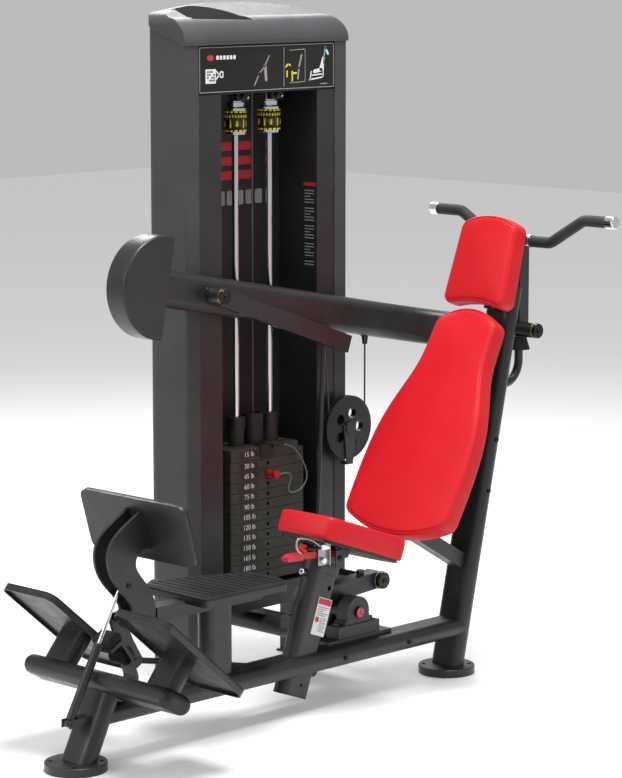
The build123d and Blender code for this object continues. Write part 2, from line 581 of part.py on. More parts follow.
def tower():
    """Uprights, covers, base and header of the tower."""
    x0, x1 = TOWER_BACK_X, TOWER_FACE_X
    strip = 48
    front = block(x0 + 12, x1 - 2, TOWER_Y0 + strip, OPENING_Y0, 6, UPRIGHT_TOP)
    front -= block(x0 + 15, x1 - 5, TOWER_Y0 + strip + 3, OPENING_Y0 - 3, -1, 1700)
    rear = block(x0 + 12, x1 - 2, OPENING_Y1, TOWER_Y1 - strip, 6, UPRIGHT_TOP)
    rear -= block(x0 + 15, x1 - 5, OPENING_Y1 + 3, TOWER_Y1 - strip - 3, -1, 1700)
    axle = pipe((-500, *ARM_PIVOT), (-256, *ARM_PIVOT), 15)
    side_axle = pipe((-500, *PULLEY), (-300, *PULLEY), 10)
    cable_y = PULLEY[0] - GROOVE_R - CABLE_R
    slot = block(x1 - 8, x1, cable_y - 5, cable_y + 5, 930, 1030)
    parts["tower_uprights"] = group([front - axle, rear - side_axle - slot])
    covers = [side_cover(TOWER_Y0, TOWER_Y0 + strip), side_cover(TOWER_Y1, TOWER_Y1 - strip)]
    lid = above_lid()
    parts["side_covers"] = group([covers[0] - axle - lid, covers[1] - side_axle - lid])
    parts["back_panel"] = block(x0 + 8, x0 + 11, TOWER_Y0 + 49, TOWER_Y1 - 49, BASE_Z0, LID_BACK_Z - 6)
    base = block(x0 + 14, x1 - 6, OPENING_Y0, OPENING_Y1, BASE_Z0, BASE_Z1)
    base -= block(x0 + 18, x1 - 10, OPENING_Y0 - 1, OPENING_Y1 + 1, BASE_Z0 - 1, BASE_Z1 - 5)
    parts["tower_base"] = base
    feet = [block(x0 + 10, x1, y, y + 110, 0, 6) for y in (TOWER_Y0 + 20, TOWER_Y1 - 130)]
    parts["side_covers"] = group([c - group(feet) for c in parts["side_covers"].solids()])
    parts["tower_feet"] = group(feet)
    header = block(x1 - 4, x1 - 1, TOWER_Y0 + 50, TOWER_Y1 - 50, HEADER_Z, LID_FRONT_Z - 2)
    parts["header_panel"] = header


def side_cover(edge, inner):
    """Formed sheet that wraps one side of the tower, rounded at the back."""
    x0, x1 = TOWER_BACK_X, TOWER_FACE_X
    y0, y1 = min(edge, inner), max(edge, inner)
    outline = Pos((x0 + x1) / 2, (y0 + y1) / 2) * Rectangle(x1 - x0, y1 - y0)
    back = outline.vertices().sort_by(lambda v: v.X + abs(v.Y - edge))[0]
    outline = fillet(back, 40)
    near = outline.vertices().sort_by(lambda v: -v.X + abs(v.Y - edge))[0]
    outline = fillet(near, 7)
    return extrude(outline - offset(outline, -3), 1800)


def lid_profile(inset=0.0):
    """Side view of the lid: rolled front edge, top rising to the back."""
    x0, x1 = TOWER_BACK_X - 3 + inset, TOWER_FACE_X + 3 - inset
    foot_front, foot_back = LID_FRONT_Z - inset, LID_BACK_Z - inset
    arc = ThreePointArc((x1, 1742 - inset), (x1 - 20, 1783 - inset), (x1 - 70, 1804 - inset))
    return make_face([Line((x0, foot_back), (x1, foot_front)), Line((x1, foot_front), arc @ 0), arc,
                      Line(arc @ 1, (x0, 1838 - inset)), Line((x0, 1838 - inset), (x0, foot_back))])


def lid_crown(inset=0.0):
    """Front view of the lid: a low arch, turned down at both ends."""
    y0, y1 = TOWER_Y0 - 3 + inset, TOWER_Y1 + 3 - inset
    arch = ThreePointArc((y0 + 34, 1815 - inset), (1030, 1840 - inset), (y1 - 70, 1822 - inset))
    front = ThreePointArc((y0, 1778 - inset), (y0 + 9, 1804 - inset), arch @ 0)
    rear = ThreePointArc(arch @ 1, (y1 - 18, 1795 - inset), (y1, 1748 - inset))
    face = make_face([front, arch, rear, Line(rear @ 1, (y1, 1690)), Line((y1, 1690), (y0, 1690)),
                      Line((y0, 1690), front @ 0)])
    return extrude(Plane((-600, 0, 0), (0, 1, 0), (1, 0, 0)) * face, 400)


def lid_plan(inset=0.0):
    """Top view of the lid, rounded at the back like the covers."""
    x0, x1 = TOWER_BACK_X - 3 + inset, TOWER_FACE_X + 3 - inset
    y0, y1 = TOWER_Y0 - 3 + inset, TOWER_Y1 + 3 - inset
    outline = Pos((x0 + x1) / 2, (y0 + y1) / 2) * Rectangle(x1 - x0, y1 - y0)
    outline = fillet(outline.vertices().sort_by(Axis.X)[:2], 43 - inset)
    return extrude(Plane.XY.offset(1690) * outline, 200)


def lid_form(inset=0.0):
    """Solid form of the lid."""
    length = TOWER_Y1 - TOWER_Y0 + 20
    side = Pos(0, TOWER_Y1 + 10, 0) * extrude(Plane.XZ * lid_profile(inset), length)
    return side & lid_crown(inset) & lid_plan(inset)


def top_lid():
    """Rolled lid over the tower with a sunk phone tray in two parts."""
    body = lid_form()
    well = make_face([Line((-402, 792), (-390, 1000)),
                      ThreePointArc((-390, 1000), (-470, 962), (-504, 872)),
                      Line((-504, 872), (-500, 800)), Line((-500, 800), (-402, 792))])
    outer = extrude(Plane.XY.offset(1742) * offset(well, 3), 120)
    hole = extrude(Plane.XY.offset(1745) * well, 120)
    divider = block(-510, -380, 908, 911, 1744, 1792) & extrude(Plane.XY.offset(1744) * well, 60)
    return body - lid_form(4.5) + (outer & body) - hole + divider


def weight_plate(level):
    """Weight plate with rod holes, a stem hole and a pin hole; level 0 is the lowest."""
    z = PLATE_BOTTOM + PLATE_PITCH * level + PLATE_T / 2
    body = Pos(STACK_X, STACK_Y, z) * Box(PLATE_D, PLATE_W, PLATE_T)
    body = chamfer(body.edges().filter_by(Axis.Z), 3)
    for side in (-1, 1):
        body -= Pos(STACK_X, STACK_Y + side * ROD_SPAN / 2, z) * Cylinder(14, 40)
    body -= Pos(STACK_X, STACK_Y, z) * Cylinder(15.5, 40)
    pin = pipe((STACK_X, STACK_Y, z), (STACK_X + 90, STACK_Y, z), 5.5)
    return body - pin


def stack():
    """Weight stack: the plates that stay, and those that hang on the stem."""
    rest = PLATES_BELOW - LIFTED_BELOW
    parts["resting_plates"] = group([weight_plate(k) for k in range(rest)])
    parts["lifted_plates"] = group([weight_plate(k) for k in range(rest, PLATES_BELOW)])
    top_z = PLATE_BOTTOM + PLATE_PITCH * PLATES_BELOW
    z = top_z + 17
    top = Pos(STACK_X, STACK_Y, z) * Box(PLATE_D, PLATE_W - 4, 34)
    top = chamfer(top.edges().filter_by(Axis.Z), 3)
    top -= block(-500, -300, STACK_Y + 118, STACK_Y + 160, z - 1, z + 40)
    for side in (-1, 1):
        rod_y = STACK_Y + side * ROD_SPAN / 2
        top += Pos(STACK_X, rod_y, z + 17 + 24) * Cylinder(22, 48)
        top -= Pos(STACK_X, rod_y, z + 20) * Cylinder(ROD_R + 0.5, 200)
    top -= Pos(STACK_X, STACK_Y, z) * Cylinder(15.5, 60)
    top_face = z + 17
    parts["top_plate"] = top
    caps = []
    for side in (-1, 1):
        rod_y = STACK_Y + side * ROD_SPAN / 2
        ring = Pos(STACK_X, rod_y, top_face + 64) * Cylinder(26, 32)
        caps.append(ring - Pos(STACK_X, rod_y, top_face + 64) * Cylinder(ROD_R + 0.5, 60))
    stem = pipe((STACK_X, STACK_Y, PLATE_BOTTOM + 20), (STACK_X, STACK_Y, top_face), 12)
    for level in range(PLATES_BELOW):
        hole_z = PLATE_BOTTOM + PLATE_PITCH * level + PLATE_T / 2
        stem -= pipe((STACK_X - 30, STACK_Y, hole_z), (STACK_X + 30, STACK_Y, hole_z), 5.5)
    parts["selector_stem"] = stem
    cup = Pos(STACK_X, STACK_Y, top_face + 43) * Cylinder(30, 86)
    cup -= Pos(STACK_X, STACK_Y, top_face + 60) * Cylinder(25, 60)
    caps.append(cup - Pos(STACK_X, STACK_Y, top_face) * Cylinder(6, 200))
    parts["stack_caps"] = group(caps)
    bumper_z = (BASE_Z1 + PLATE_BOTTOM) / 2
    bumpers = [Pos(STACK_X, STACK_Y + s * 100, bumper_z) * Cylinder(24, PLATE_BOTTOM - BASE_Z1)
               for s in (-1, 1)]
    return top_face, bumpers


def selector(top_face):
    """Selector pin in the third plate, and the clip that holds its lanyard."""
    z = PIN_Z
    face = STACK_X + PLATE_D / 2
    y = STACK_Y
    shank = pipe((STACK_X - 8, y, z), (face + 1, y, z), 5)
    knob = pipe((face + 1, y, z), (face + 12, y, z), 11) + pipe((face + 12, y, z), (face + 22, y, z), 8)
    knob += pipe((face + 22, y, z), (face + 36, y, z), 11)
    parts["selector_pin"] = shank + knob
    clip = block(face + GAP, face + 4, y - 30, y + 20, top_face - 30, top_face + 2)
    clip += block(face - 24, face + 4, y - 30, y + 20, top_face + 0.1, top_face + 3)
    x, ferrule_y, ferrule_z = LANYARD[0]
    ferrule = pipe((x, y + 10, ferrule_z), (x, ferrule_y - 0.3, ferrule_z), 3.6)
    parts["lanyard_clip"] = clip + ferrule


def fillet_radii(points):
    """Arc radius at each corner: 0.45 of the shorter run, over the tangent of half the turn."""
    radii = []
    for before, at, after in zip(points, points[1:], points[2:]):
        runs = (Vector(*at) - Vector(*before), Vector(*after) - Vector(*at))
        half_turn = math.radians(runs[0].get_angle(runs[1])) / 2
        radii.append(0.45 * min(runs[0].length, runs[1].length) / math.tan(half_turn))
    return radii


def lanyard():
    """Cord from the clip round to the selector pin's knob."""
    radii = fillet_radii(LANYARD)
    print("lanyard fillet radii", [round(r, 1) for r in radii])
    path = FilletPolyline(*LANYARD, radius=radii)
    start = Plane(path @ 0, z_dir=path % 0)
    parts["pin_lanyard"] = sweep(start * Circle(LANYARD_R), path)


def guide_rods():
    """Guide rods, their top bracket and the add-on weights parked at the top."""
    rods = [pipe((STACK_X, STACK_Y + s * ROD_SPAN / 2, BASE_Z1 - 2),
                 (STACK_X, STACK_Y + s * ROD_SPAN / 2, 1600), ROD_R) for s in (-1, 1)]
    parts["tower_base"] -= group(rods)
    bracket = block(-500, -368, TOWER_Y0 + 52, TOWER_Y1 - 52, 1600, 1606)
    cable_y = PULLEY[0] - GROOVE_R - CABLE_R
    bracket -= Pos(STACK_X, STACK_Y, 1603) * Cylinder(12, 20)
    parts["top_bracket"] = bracket - Pos(STACK_X + 2, cable_y, 1603) * Cylinder(8, 20)
    for name, side in (("front", -1), ("rear", 1)):
        y = STACK_Y + side * ROD_SPAN / 2
        weight = Pos(STACK_X, y, 1522) * Cylinder(31, 74)
        weight = chamfer(weight.edges().filter_by(GeomType.CIRCLE), 2)
        weight -= Pos(STACK_X, y, 1522) * Cylinder(ROD_R + 0.4, 100)
        parts[f"{name}_add_on_weight"] = weight
        collar = Pos(STACK_X, y, 1580) * Cylinder(20, 40) - Pos(STACK_X, y, 1580) * Cylinder(ROD_R, 60)
        rods.append(collar)
    parts["guide_rods"] = group(rods)


# ---- pulleys and cables ---------------------------------------------------------------------
def wheel(x, y, z, radius, groove, half, bore):
    """Grooved pulley on an axis along X."""
    disc = pipe((x - half, y, z), (x + half, y, z), radius)
    disc -= pipe((x - CABLE_R - 0.6, y, z), (x + CABLE_R + 0.6, y, z), radius + 5, groove)
    return disc - pipe((x - 50, y, z), (x + 50, y, z), bore)


def pulleys():
    """Side pulley with its guard, and the two pulleys under the lid."""
    y, z = PULLEY
    side = wheel(PULLEY_X, y, z, PULLEY_R, GROOVE_R, 9, 10 + RUN)
    for k in range(5):
        angle = math.radians(72 * k)
        hole_y, hole_z = y + 42 * math.cos(angle), z + 42 * math.sin(angle)
        side -= pipe((PULLEY_X - 20, hole_y, hole_z), (PULLEY_X + 20, hole_y, hole_z), 15)
    parts["side_pulley"] = side
    axle = pipe((TOWER_FACE_X - 2, y, z), (PULLEY_X + 16, y, z), 10)
    axle += pipe((PULLEY_X + 10, y, z), (PULLEY_X + 16, y, z), 17)
    axle += pipe((TOWER_FACE_X, y, z), (PULLEY_X - 10, y, z), 18)
    axle -= block(-500, TOWER_FACE_X, y - 40, TOWER_Y1 - 48, z - 40, z + 40)
    axle += pipe((TOWER_FACE_X - 12, y, z), (TOWER_FACE_X + 1, y, z), 10)
    guard = plate_yz(PULLEY_X + 10, PULLEY_X + 13, [(y - 26, z + 8), (y + 26, z + 8), (y + 12, z - 104),
                                                   (y - 12, z - 104)])
    guard += block(PULLEY_X - 12, PULLEY_X + 13, y - 12, y + 12, z - 104, z - 97)
    guard -= pipe((PULLEY_X, y, z), (PULLEY_X + 20, y, z), 17)
    bracket = parts.pop("top_bracket")
    axles = []
    for name, centre in top_pulley_centres():
        parts[name] = wheel(STACK_X, centre, TOP_PULLEY_Z, TOP_PULLEY_R + 6, TOP_PULLEY_R - CABLE_R, 8,
                            8 + RUN)
        axles.append(pipe((STACK_X - 32, centre, TOP_PULLEY_Z), (STACK_X + 32, centre, TOP_PULLEY_Z), 8))
    for x in (STACK_X - 22, STACK_X + 22):
        bracket += block(x - 2, x + 2, 1050, 1230, 1606, TOP_PULLEY_Z + 20)
    bracket -= group(axles)
    parts["pulley_brackets"] = group([bracket, guard, axle] + axles)


def cables():
    """Cable in three stretches: up from the stack, over and round the pulleys, up to the arm."""
    y, z = PULLEY
    groove = GROOVE_R + CABLE_R
    top_face = PLATE_BOTTOM + PLATE_PITCH * PLATES_BELOW + 34
    parts["stack_cable"] = pipe((STACK_X, STACK_Y, top_face + 4), (STACK_X, STACK_Y, TOP_PULLEY_Z),
                                CABLE_R)
    parts["arm_cable"] = pipe((PULLEY_X, y + groove, z),
                              (PULLEY_X, y + groove, arm_axis(FITTING_Y) - 74), CABLE_R)
    turns = [quarter_loop(STACK_X, centre, TOP_PULLEY_Z, TOP_PULLEY_R, side)
             for (_, centre), side in zip(top_pulley_centres(), (-1, 1))]
    top_z = TOP_PULLEY_Z + TOP_PULLEY_R
    ends = [(STACK_X, centre, top_z) for _, centre in top_pulley_centres()]
    under = half_loop(PULLEY_X, y, z, groove)
    high = (STACK_X, y - groove, TOP_PULLEY_Z - 38)
    low = (PULLEY_X, y - groove, z + 62)
    down = pipe(high[:2] + (TOP_PULLEY_Z,), high, CABLE_R) + Pos(*high) * Sphere(CABLE_R)
    down += pipe(high, low, CABLE_R) + Pos(*low) * Sphere(CABLE_R)
    parts["pulley_cable"] = (turns[0] + pipe(*ends, CABLE_R) + turns[1] + down
                             + pipe(low, low[:2] + (z,), CABLE_R) + under)


def top_pulley_centres():
    """Names and Y of the two pulleys that lead the cable over to the rear upright."""
    down_y = PULLEY[0] - GROOVE_R - CABLE_R
    return [("front_top_pulley", STACK_Y + TOP_PULLEY_R), ("rear_top_pulley", down_y - TOP_PULLEY_R)]


def quarter_loop(x, y, z, radius, side):
    """Quarter turn of cable on the top of a pulley, on its -Y (side -1) or +Y (side 1) part."""
    ring = Plane((x, y, z), (0, 1, 0), (1, 0, 0)) * Torus(radius, CABLE_R)
    near, far = sorted((y, y + side * 100))
    return ring & block(x - 20, x + 20, near, far, z, z + 100)


def half_loop(x, y, z, radius):
    """Half turn of cable under a pulley."""
    ring = Plane((x, y, z), (0, 1, 0), (1, 0, 0)) * Torus(radius, CABLE_R)
    return ring & block(x - 20, x + 20, y - 200, y + 200, z - 200, z)


# ---- seat and pads -----------------------------------------------------------------------------
def seat_plane(lift=0.0):
    """Top of the seat: origin at the middle of its front edge, local y down to the rear."""
    tilt = math.radians(SEAT_LEAN)
    return Plane((0, *SEAT_FRONT), (1, 0, 0), (0, math.sin(tilt), math.cos(tilt))).offset(lift)


def seat_outline(inset=0):
    """Seat plan: a narrow rounded nose and a wider back."""
    nose, back, length = 96 - inset, 136 - inset, 313 - inset
    hip = 270                   # where the seat is widest
    face = make_face([ThreePointArc((-nose, 14 + inset), (0, inset), (nose, 14 + inset)),
                      Spline((nose, 14 + inset), (nose + 22, 120), (back, hip),
                             tangents=[(0.2, 1), (0.2, 1)]),
                      ThreePointArc((back, hip), (0, length), (-back, hip)),
                      Spline((-back, hip), (-nose - 22, 120), (-nose, 14 + inset),
                             tangents=[(0.2, -1), (0.2, -1)])])
    return fillet(face.vertices(), 26)


def seat():
    """Seat cushion, board, sliding post and release lever."""
    cushion = extrude(seat_plane(-SEAT_T) * seat_outline(), SEAT_T)
    parts["seat_cushion"] = fillet(cushion.edges().group_by(lambda e: round(seat_plane().to_local_coords(
        e.center()).Z, 0))[-1], 8)
    board = extrude(seat_plane(-SEAT_T - BOARD_T) * seat_outline(10), BOARD_T)
    axis = Vector(0, math.sin(math.radians(SEAT_LEAN)), math.cos(math.radians(SEAT_LEAN)))
    top = seat_plane(-SEAT_T - BOARD_T)
    reach = Vector(0, seat_axis(372), 372)
    end = reach + axis * ((top.origin - reach).dot(axis))
    low = reach - axis * 170
    slide = run(oval(88, 30), tuple(low), tuple(end), (0, 1, 0))
    parts["seat_frame"] = group([board, slide - board, release_mount(end)])
    collar = run(oval(116, 60), tuple(reach - axis * 14), tuple(reach + axis * 16), (0, 1, 0))
    collar -= run(oval(92, 34), tuple(low), tuple(end), (0, 1, 0))
    collar -= run(oval(106, OVAL_T), (0, seat_axis(52), 52), tuple(reach), (0, 1, 0))
    knob_at = reach - axis * 24
    square = Vector(0, -math.cos(math.radians(SEAT_LEAN)), math.sin(math.radians(SEAT_LEAN)))
    knob = pipe(tuple(knob_at + square * 53.2), tuple(knob_at + square * 66), 9)
    parts["seat_fittings"] = group([collar, knob])


def release_mount(end):
    """Two lugs under the seat board that hold the release lever's pin."""
    lugs = block(17, 20, 872, 922, 396, end.Z + 60) + block(41, 44, 872, 922, 396, end.Z + 60)
    lugs -= extrude(seat_plane(-SEAT_T - BOARD_T) * Rectangle(900, 900), 200)
    return lugs + pipe((17, *RELEASE_PIVOT), (44, *RELEASE_PIVOT), 4)


def release_lever():
    """Red lever under the seat's nose."""
    y, z = RELEASE_PIVOT
    arm = plate_yz(26, 34, [(y + 9, z - 9), (y + 9, z + 9), (772, 430), (752, 430), (752, 415)])
    arm -= pipe((10, y, z), (44, y, z), 4 + RUN)
    grip = plate_yz(18, 42, [(754, 413), (754, 431), (712, 433), (694, 426), (698, 416)])
    parts["release_lever"] = arm + grip


def pad_plane(y, z, lean, lift=0.0):
    """Front face of a backrest pad: local x across, local y up the pad."""
    tilt = math.radians(lean)
    return Plane((0, y, z), (1, 0, 0), (0, -math.cos(tilt), math.sin(tilt))).offset(lift)


def back_outline():
    """Bottle-shaped backrest: narrow arched shoulders, wide lumbar part."""
    side = [(107, 292), (110, 225), (118, 158), (142, 84), (172, -10), (185, -105), (187, -220),
            (185, -290)]
    other = [(-x, y) for x, y in reversed(side)]
    face = make_face([ThreePointArc(other[-1], (0, 333), side[0]), Spline(*side),
                      ThreePointArc(side[-1], (0, -338), other[0]), Spline(*other)])
    face = fillet(face.vertices().sort_by(Axis.Y)[-2:], 34)
    return fillet(face.vertices().sort_by(Axis.Y)[:2], 30)


def head_outline():
    """Head pad: arched top, hollowed lower edge."""
    face = make_face([Line((111, -134), (98, 105)), ThreePointArc((98, 105), (0, 131), (-98, 105)),
                      Line((-98, 105), (-111, -134)),
                      ThreePointArc((-111, -134), (0, -113), (111, -134))])
    face = fillet(face.vertices().sort_by(Axis.Y)[-2:], 30)
    return fillet(face.vertices().sort_by(Axis.Y)[:2], 24)


def pads():
    """Backrest and head pad with their boards and brackets."""
    back = (1287, 720, BACK_LEAN)
    head = (1494, 1134, HEAD_LEAN)
    boards = []
    for name, spot, outline, thick in (("back_pad", back, back_outline, 52),
                                       ("head_pad", head, head_outline, 52)):
        pad = extrude(pad_plane(*spot, -thick) * outline(), thick)
        plane = pad_plane(*spot)
        front = [e for e in pad.edges() if abs(plane.to_local_coords(e.center()).Z) < 1]
        parts[name] = fillet(front, 9)
        boards.append(extrude(pad_plane(*spot, -thick - 9) * scale(outline(), 0.94), 9))
    rear_o = run(oval(OVAL_W, OVAL_T), (0, rear_axis(0), 0), (0, rear_axis(1058), 1058), (1, 0, 0))
    plane = pad_plane(*back, -61)
    behind = extrude(plane * Rectangle(900, 1400), -600)
    low = plane.from_local_coords(Vector(0, -296, 0))
    high = plane.from_local_coords(Vector(0, 215, 0))
    normal = plane.z_dir * -1
    arms = run(Rectangle(44, 40), tuple(low - normal * 20), tuple(low + normal * 260), (1, 0, 0))
    arms += run(Rectangle(44, 40), tuple(high - normal * 20), tuple(high + normal * 150), (1, 0, 0))
    arms = (arms & behind) - rear_o
    parts["pad_boards"] = group(boards)
    arms = [s for s in arms.solids() if s.center().Y < rear_axis(s.center().Z)]
    head_plane = pad_plane(*head, -61)
    strip = extrude(head_plane * Rectangle(50, 150), -8)
    return arms + [strip + head_arm_web(head_plane)]


def head_arm_web(head_plane):
    """Rib between the rear post's top and the head pad's board."""
    rear_o = run(oval(OVAL_W, OVAL_T), (0, rear_axis(0), 0), (0, rear_axis(1058), 1058), (1, 0, 0))
    box = block(-14, 14, 1480, 1640, 1000, 1130)
    behind = extrude(head_plane.offset(-8) * Rectangle(900, 900), -300)
    front_side = run(Rectangle(400, 400), (0, rear_axis(990) - 190, 990),
                     (0, rear_axis(1140) - 190, 1140), (1, 0, 0))
    return (box & behind & front_side) - rear_o


# ---- build ------------------------------------------------------------------------------------
def merge(name, *others):
    """Put the solids of other sub-parts that share its body into one sub-part."""
    solids = list(parts[name].solids())
    for other in others:
        solids += parts.pop(other).solids()
    parts[name] = group(solids)


def build():
    """Make every sub-part."""
    parts["anchor_feet"] = group([foot(0), foot(REAR_FOOT_Y)])
    frame()
    parts["frame_bolts"] = frame_bolts()
    platform, platform_tread = step()
    parts["foot_plates"] = group([footrest(-1), footrest(1), platform])
    parts["foot_treads"] = group([footrest_tread(-1), footrest_tread(1), platform_tread])
    foot_lever()
    spring_bracket = gas_spring()
    stop_bracket, stop_pads = rubber_stop()
    push_rod()
    rocker()
    pillow_plates = pillow_blocks()
    assist_link()
    press_arm()
    arm_pivot()
    yoke()
    rest_cup = rest_stop()
    tower()
    parts["top_lid"] = top_lid()
    top_face, bumpers = stack()
    parts["rubber_stops"] = group(stop_pads + [rest_cup] + bumpers)
    selector(top_face)
    lanyard()
    guide_rods()
    pulleys()
    cables()
    seat()
    release_lever()
    pad_brackets = pads()
    parts["frame_brackets"] = group([spring_bracket, stop_bracket] + pillow_plates + pad_brackets)
    merge("base_tubes", "main_beam", "rear_post", "step_arm")
    merge("tower_base", "tower_feet")
    merge("lever_plates", "lever_pedal")
    merge("frame_brackets", "rest_tube")
    merge("stack_caps", "lanyard_clip")
    merge("rocker_arm", "rocker_crank")


if __name__ == "__main__":
    build()
    os.makedirs("parts", exist_ok=True)
    for name, shape in parts.items():
        export_step(shape, f"parts/{name}.step")
        print(f"{name:24s} solids {len(shape.solids())}")
    print(len(parts), "nodes")
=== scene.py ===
"""Visual model of the shoulder press machine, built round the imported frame. Metres."""
import json
import math

import bmesh
import bpy
from mathutils import Matrix, Vector, geometry


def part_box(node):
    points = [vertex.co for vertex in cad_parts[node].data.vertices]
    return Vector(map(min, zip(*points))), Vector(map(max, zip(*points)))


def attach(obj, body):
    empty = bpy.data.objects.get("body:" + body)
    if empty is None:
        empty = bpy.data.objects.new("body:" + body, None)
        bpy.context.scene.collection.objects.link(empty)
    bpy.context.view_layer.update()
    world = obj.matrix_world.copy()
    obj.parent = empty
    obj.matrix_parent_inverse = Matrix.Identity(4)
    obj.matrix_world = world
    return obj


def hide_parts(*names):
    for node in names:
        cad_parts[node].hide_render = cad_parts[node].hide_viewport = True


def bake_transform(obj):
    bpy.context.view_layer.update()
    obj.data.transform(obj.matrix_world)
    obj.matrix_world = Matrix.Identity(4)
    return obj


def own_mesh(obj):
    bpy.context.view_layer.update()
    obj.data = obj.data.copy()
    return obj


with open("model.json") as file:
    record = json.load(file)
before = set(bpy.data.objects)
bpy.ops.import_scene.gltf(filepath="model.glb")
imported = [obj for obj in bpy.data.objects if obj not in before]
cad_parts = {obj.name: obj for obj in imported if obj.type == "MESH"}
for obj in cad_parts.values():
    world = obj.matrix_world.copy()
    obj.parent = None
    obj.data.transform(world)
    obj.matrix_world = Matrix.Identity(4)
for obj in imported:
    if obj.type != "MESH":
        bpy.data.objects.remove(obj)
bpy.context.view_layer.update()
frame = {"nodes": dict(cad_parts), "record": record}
nodes = frame["nodes"]

# ---- places shared with the CAD ----------------------------------------------------------
STACK_X, STACK_Y = -0.434, 1.040
PLATE_FACE_X = -0.3755
PLATE_BOTTOM, PLATE_PITCH, PLATE_T = 0.255, 0.0285, 0.027
PLATES, LIFTED = 12, 2
PLATE_POUNDS = 15
TOWER_FACE_X = -0.360
ARM_PIVOT = Vector((0, 0.757, 1.077))
HUB = Vector((0, 1.660, 0.930))
ROCKER_BOSS = Vector((0, 1.145, 0.286))
ROCKER_HUB = Vector((0, 1.005, 0.228))
ROD_OFFSET = 0.065          # guide rods, along Y from the stack's middle
SEAT_LEAN = math.radians(20)
CABLE_R, WIRE_STEPS = 0.0025, 40
LANYARD_D = 0.0044
LANYARD = [(-0.3674, 1.092, 0.6274), (-0.366, 1.125, 0.625), (-0.361, 1.164, 0.575),
           (-0.360, 1.184, 0.524), (-0.361, 1.150, 0.489), (-0.363, 1.100, 0.491),
           (-0.361, 1.122, 0.541), (-0.3545, 1.088, 0.552), (-0.348, 1.0534, 0.5515)]


# ---- camera ------------------------------------------------------------------------------
def camera():
    """Long lens from the front right, slightly above."""
    data = bpy.data.cameras.new("camera")
    data.sensor_width = 36
    data.lens = 136.2
    data.clip_end = 60
    cam = bpy.data.objects.new("camera", data)
    bpy.context.scene.collection.objects.link(cam)
    ahead = Vector((-0.6892, 0.7087, -0.1511))
    cam.location = (5.276, -4.601, 2.008)
    cam.rotation_euler = ahead.to_track_quat("-Z", "Y").to_euler()
    bpy.context.scene.camera = cam


# ---- materials ---------------------------------------------------------------------------
def finish(name, color, rough, metallic=0.0, vary=0.3, vary_scale=9.0, speckle=None,
           speckle_scale=900.0, grain=0.0, grain_scale=700.0, cells=False, wear=0.0,
           wear_color=(0.3, 0.3, 0.3), specular=0.5, rough_vary=0.08, bevel=0.0012):
    """Procedural material: colour variation, speckle, grain, worn edges and rounded corners."""
    mat = bpy.data.materials.new(name)
    mat.use_nodes = True
    tree = mat.node_tree
    shader = tree.nodes["Principled BSDF"]
    shader.inputs["Metallic"].default_value = metallic
    shader.inputs["Specular IOR Level"].default_value = specular
    coords = tree.nodes.new("ShaderNodeTexCoord").outputs["Object"]

    def add(kind, **values):
        node = tree.nodes.new(kind)
        for key, value in values.items():
            if hasattr(node, key):
                setattr(node, key, value)
            else:
                node.inputs[key.replace("_", " ")].default_value = value
        return node

    def mix(factor, low, high):
        node = add("ShaderNodeMix", data_type="RGBA")
        for socket, value in ((0, factor), (6, low), (7, high)):
            if isinstance(value, bpy.types.NodeSocket):
                tree.links.new(value, node.inputs[socket])
            else:
                node.inputs[socket].default_value = (*value, 1) if socket else value
        return node.outputs[2]

    def noise(scale, detail=2.0):
        node = add("ShaderNodeTexNoise", Scale=scale, Detail=detail)
        tree.links.new(coords, node.inputs["Vector"])
        return node.outputs["Fac"]

    def steps(value, low, high):
        node = add("ShaderNodeMapRange", From_Min=low, From_Max=high)
        tree.links.new(value, node.inputs["Value"])
        return node.outputs["Result"]

    soft = steps(noise(vary_scale, 4.0), 0.3, 0.7)
    dark = tuple(c * (1 - vary) for c in color)
    light = tuple(min(1.0, c * (1 + vary)) for c in color)
    tone = mix(soft, dark, light)
    if speckle:
        tone = mix(steps(noise(speckle_scale, 1.0), 0.60, 0.72), tone, speckle)
    normal = add("ShaderNodeBevel", Radius=bevel, samples=4).outputs["Normal"]
    if wear:
        flat = add("ShaderNodeNewGeometry").outputs["Normal"]
        wide = add("ShaderNodeBevel", Radius=0.004, samples=4).outputs["Normal"]
        dot = add("ShaderNodeVectorMath", operation="DOT_PRODUCT")
        tree.links.new(flat, dot.inputs[0])
        tree.links.new(wide, dot.inputs[1])
        edge = steps(dot.outputs["Value"], 0.995, 0.9)
        amount = add("ShaderNodeMath", operation="MULTIPLY")
        tree.links.new(edge, amount.inputs[0])
        tree.links.new(steps(noise(60.0, 5.0), 0.35 / wear ** 0.2, 0.9), amount.inputs[1])
        tone = mix(amount.outputs[0], tone, wear_color)
    tree.links.new(tone, shader.inputs["Base Color"])
    rough_node = add("ShaderNodeMapRange", From_Min=0.3, From_Max=0.7,
                     To_Min=max(0.02, rough - rough_vary), To_Max=min(1.0, rough + rough_vary))
    tree.links.new(noise(vary_scale * 3, 3.0), rough_node.inputs["Value"])
    tree.links.new(rough_node.outputs["Result"], shader.inputs["Roughness"])
    if grain:
        if cells:
            texture = add("ShaderNodeTexVoronoi", Scale=grain_scale)
            tree.links.new(coords, texture.inputs["Vector"])
            height = texture.outputs["Distance"]
        else:
            height = noise(grain_scale, 3.0)
        bump = add("ShaderNodeBump", Strength=grain, Distance=0.0006)
        tree.links.new(height, bump.inputs["Height"])
        tree.links.new(normal, bump.inputs["Normal"])
        normal = bump.outputs["Normal"]
    tree.links.new(normal, shader.inputs["Normal"])
    return mat


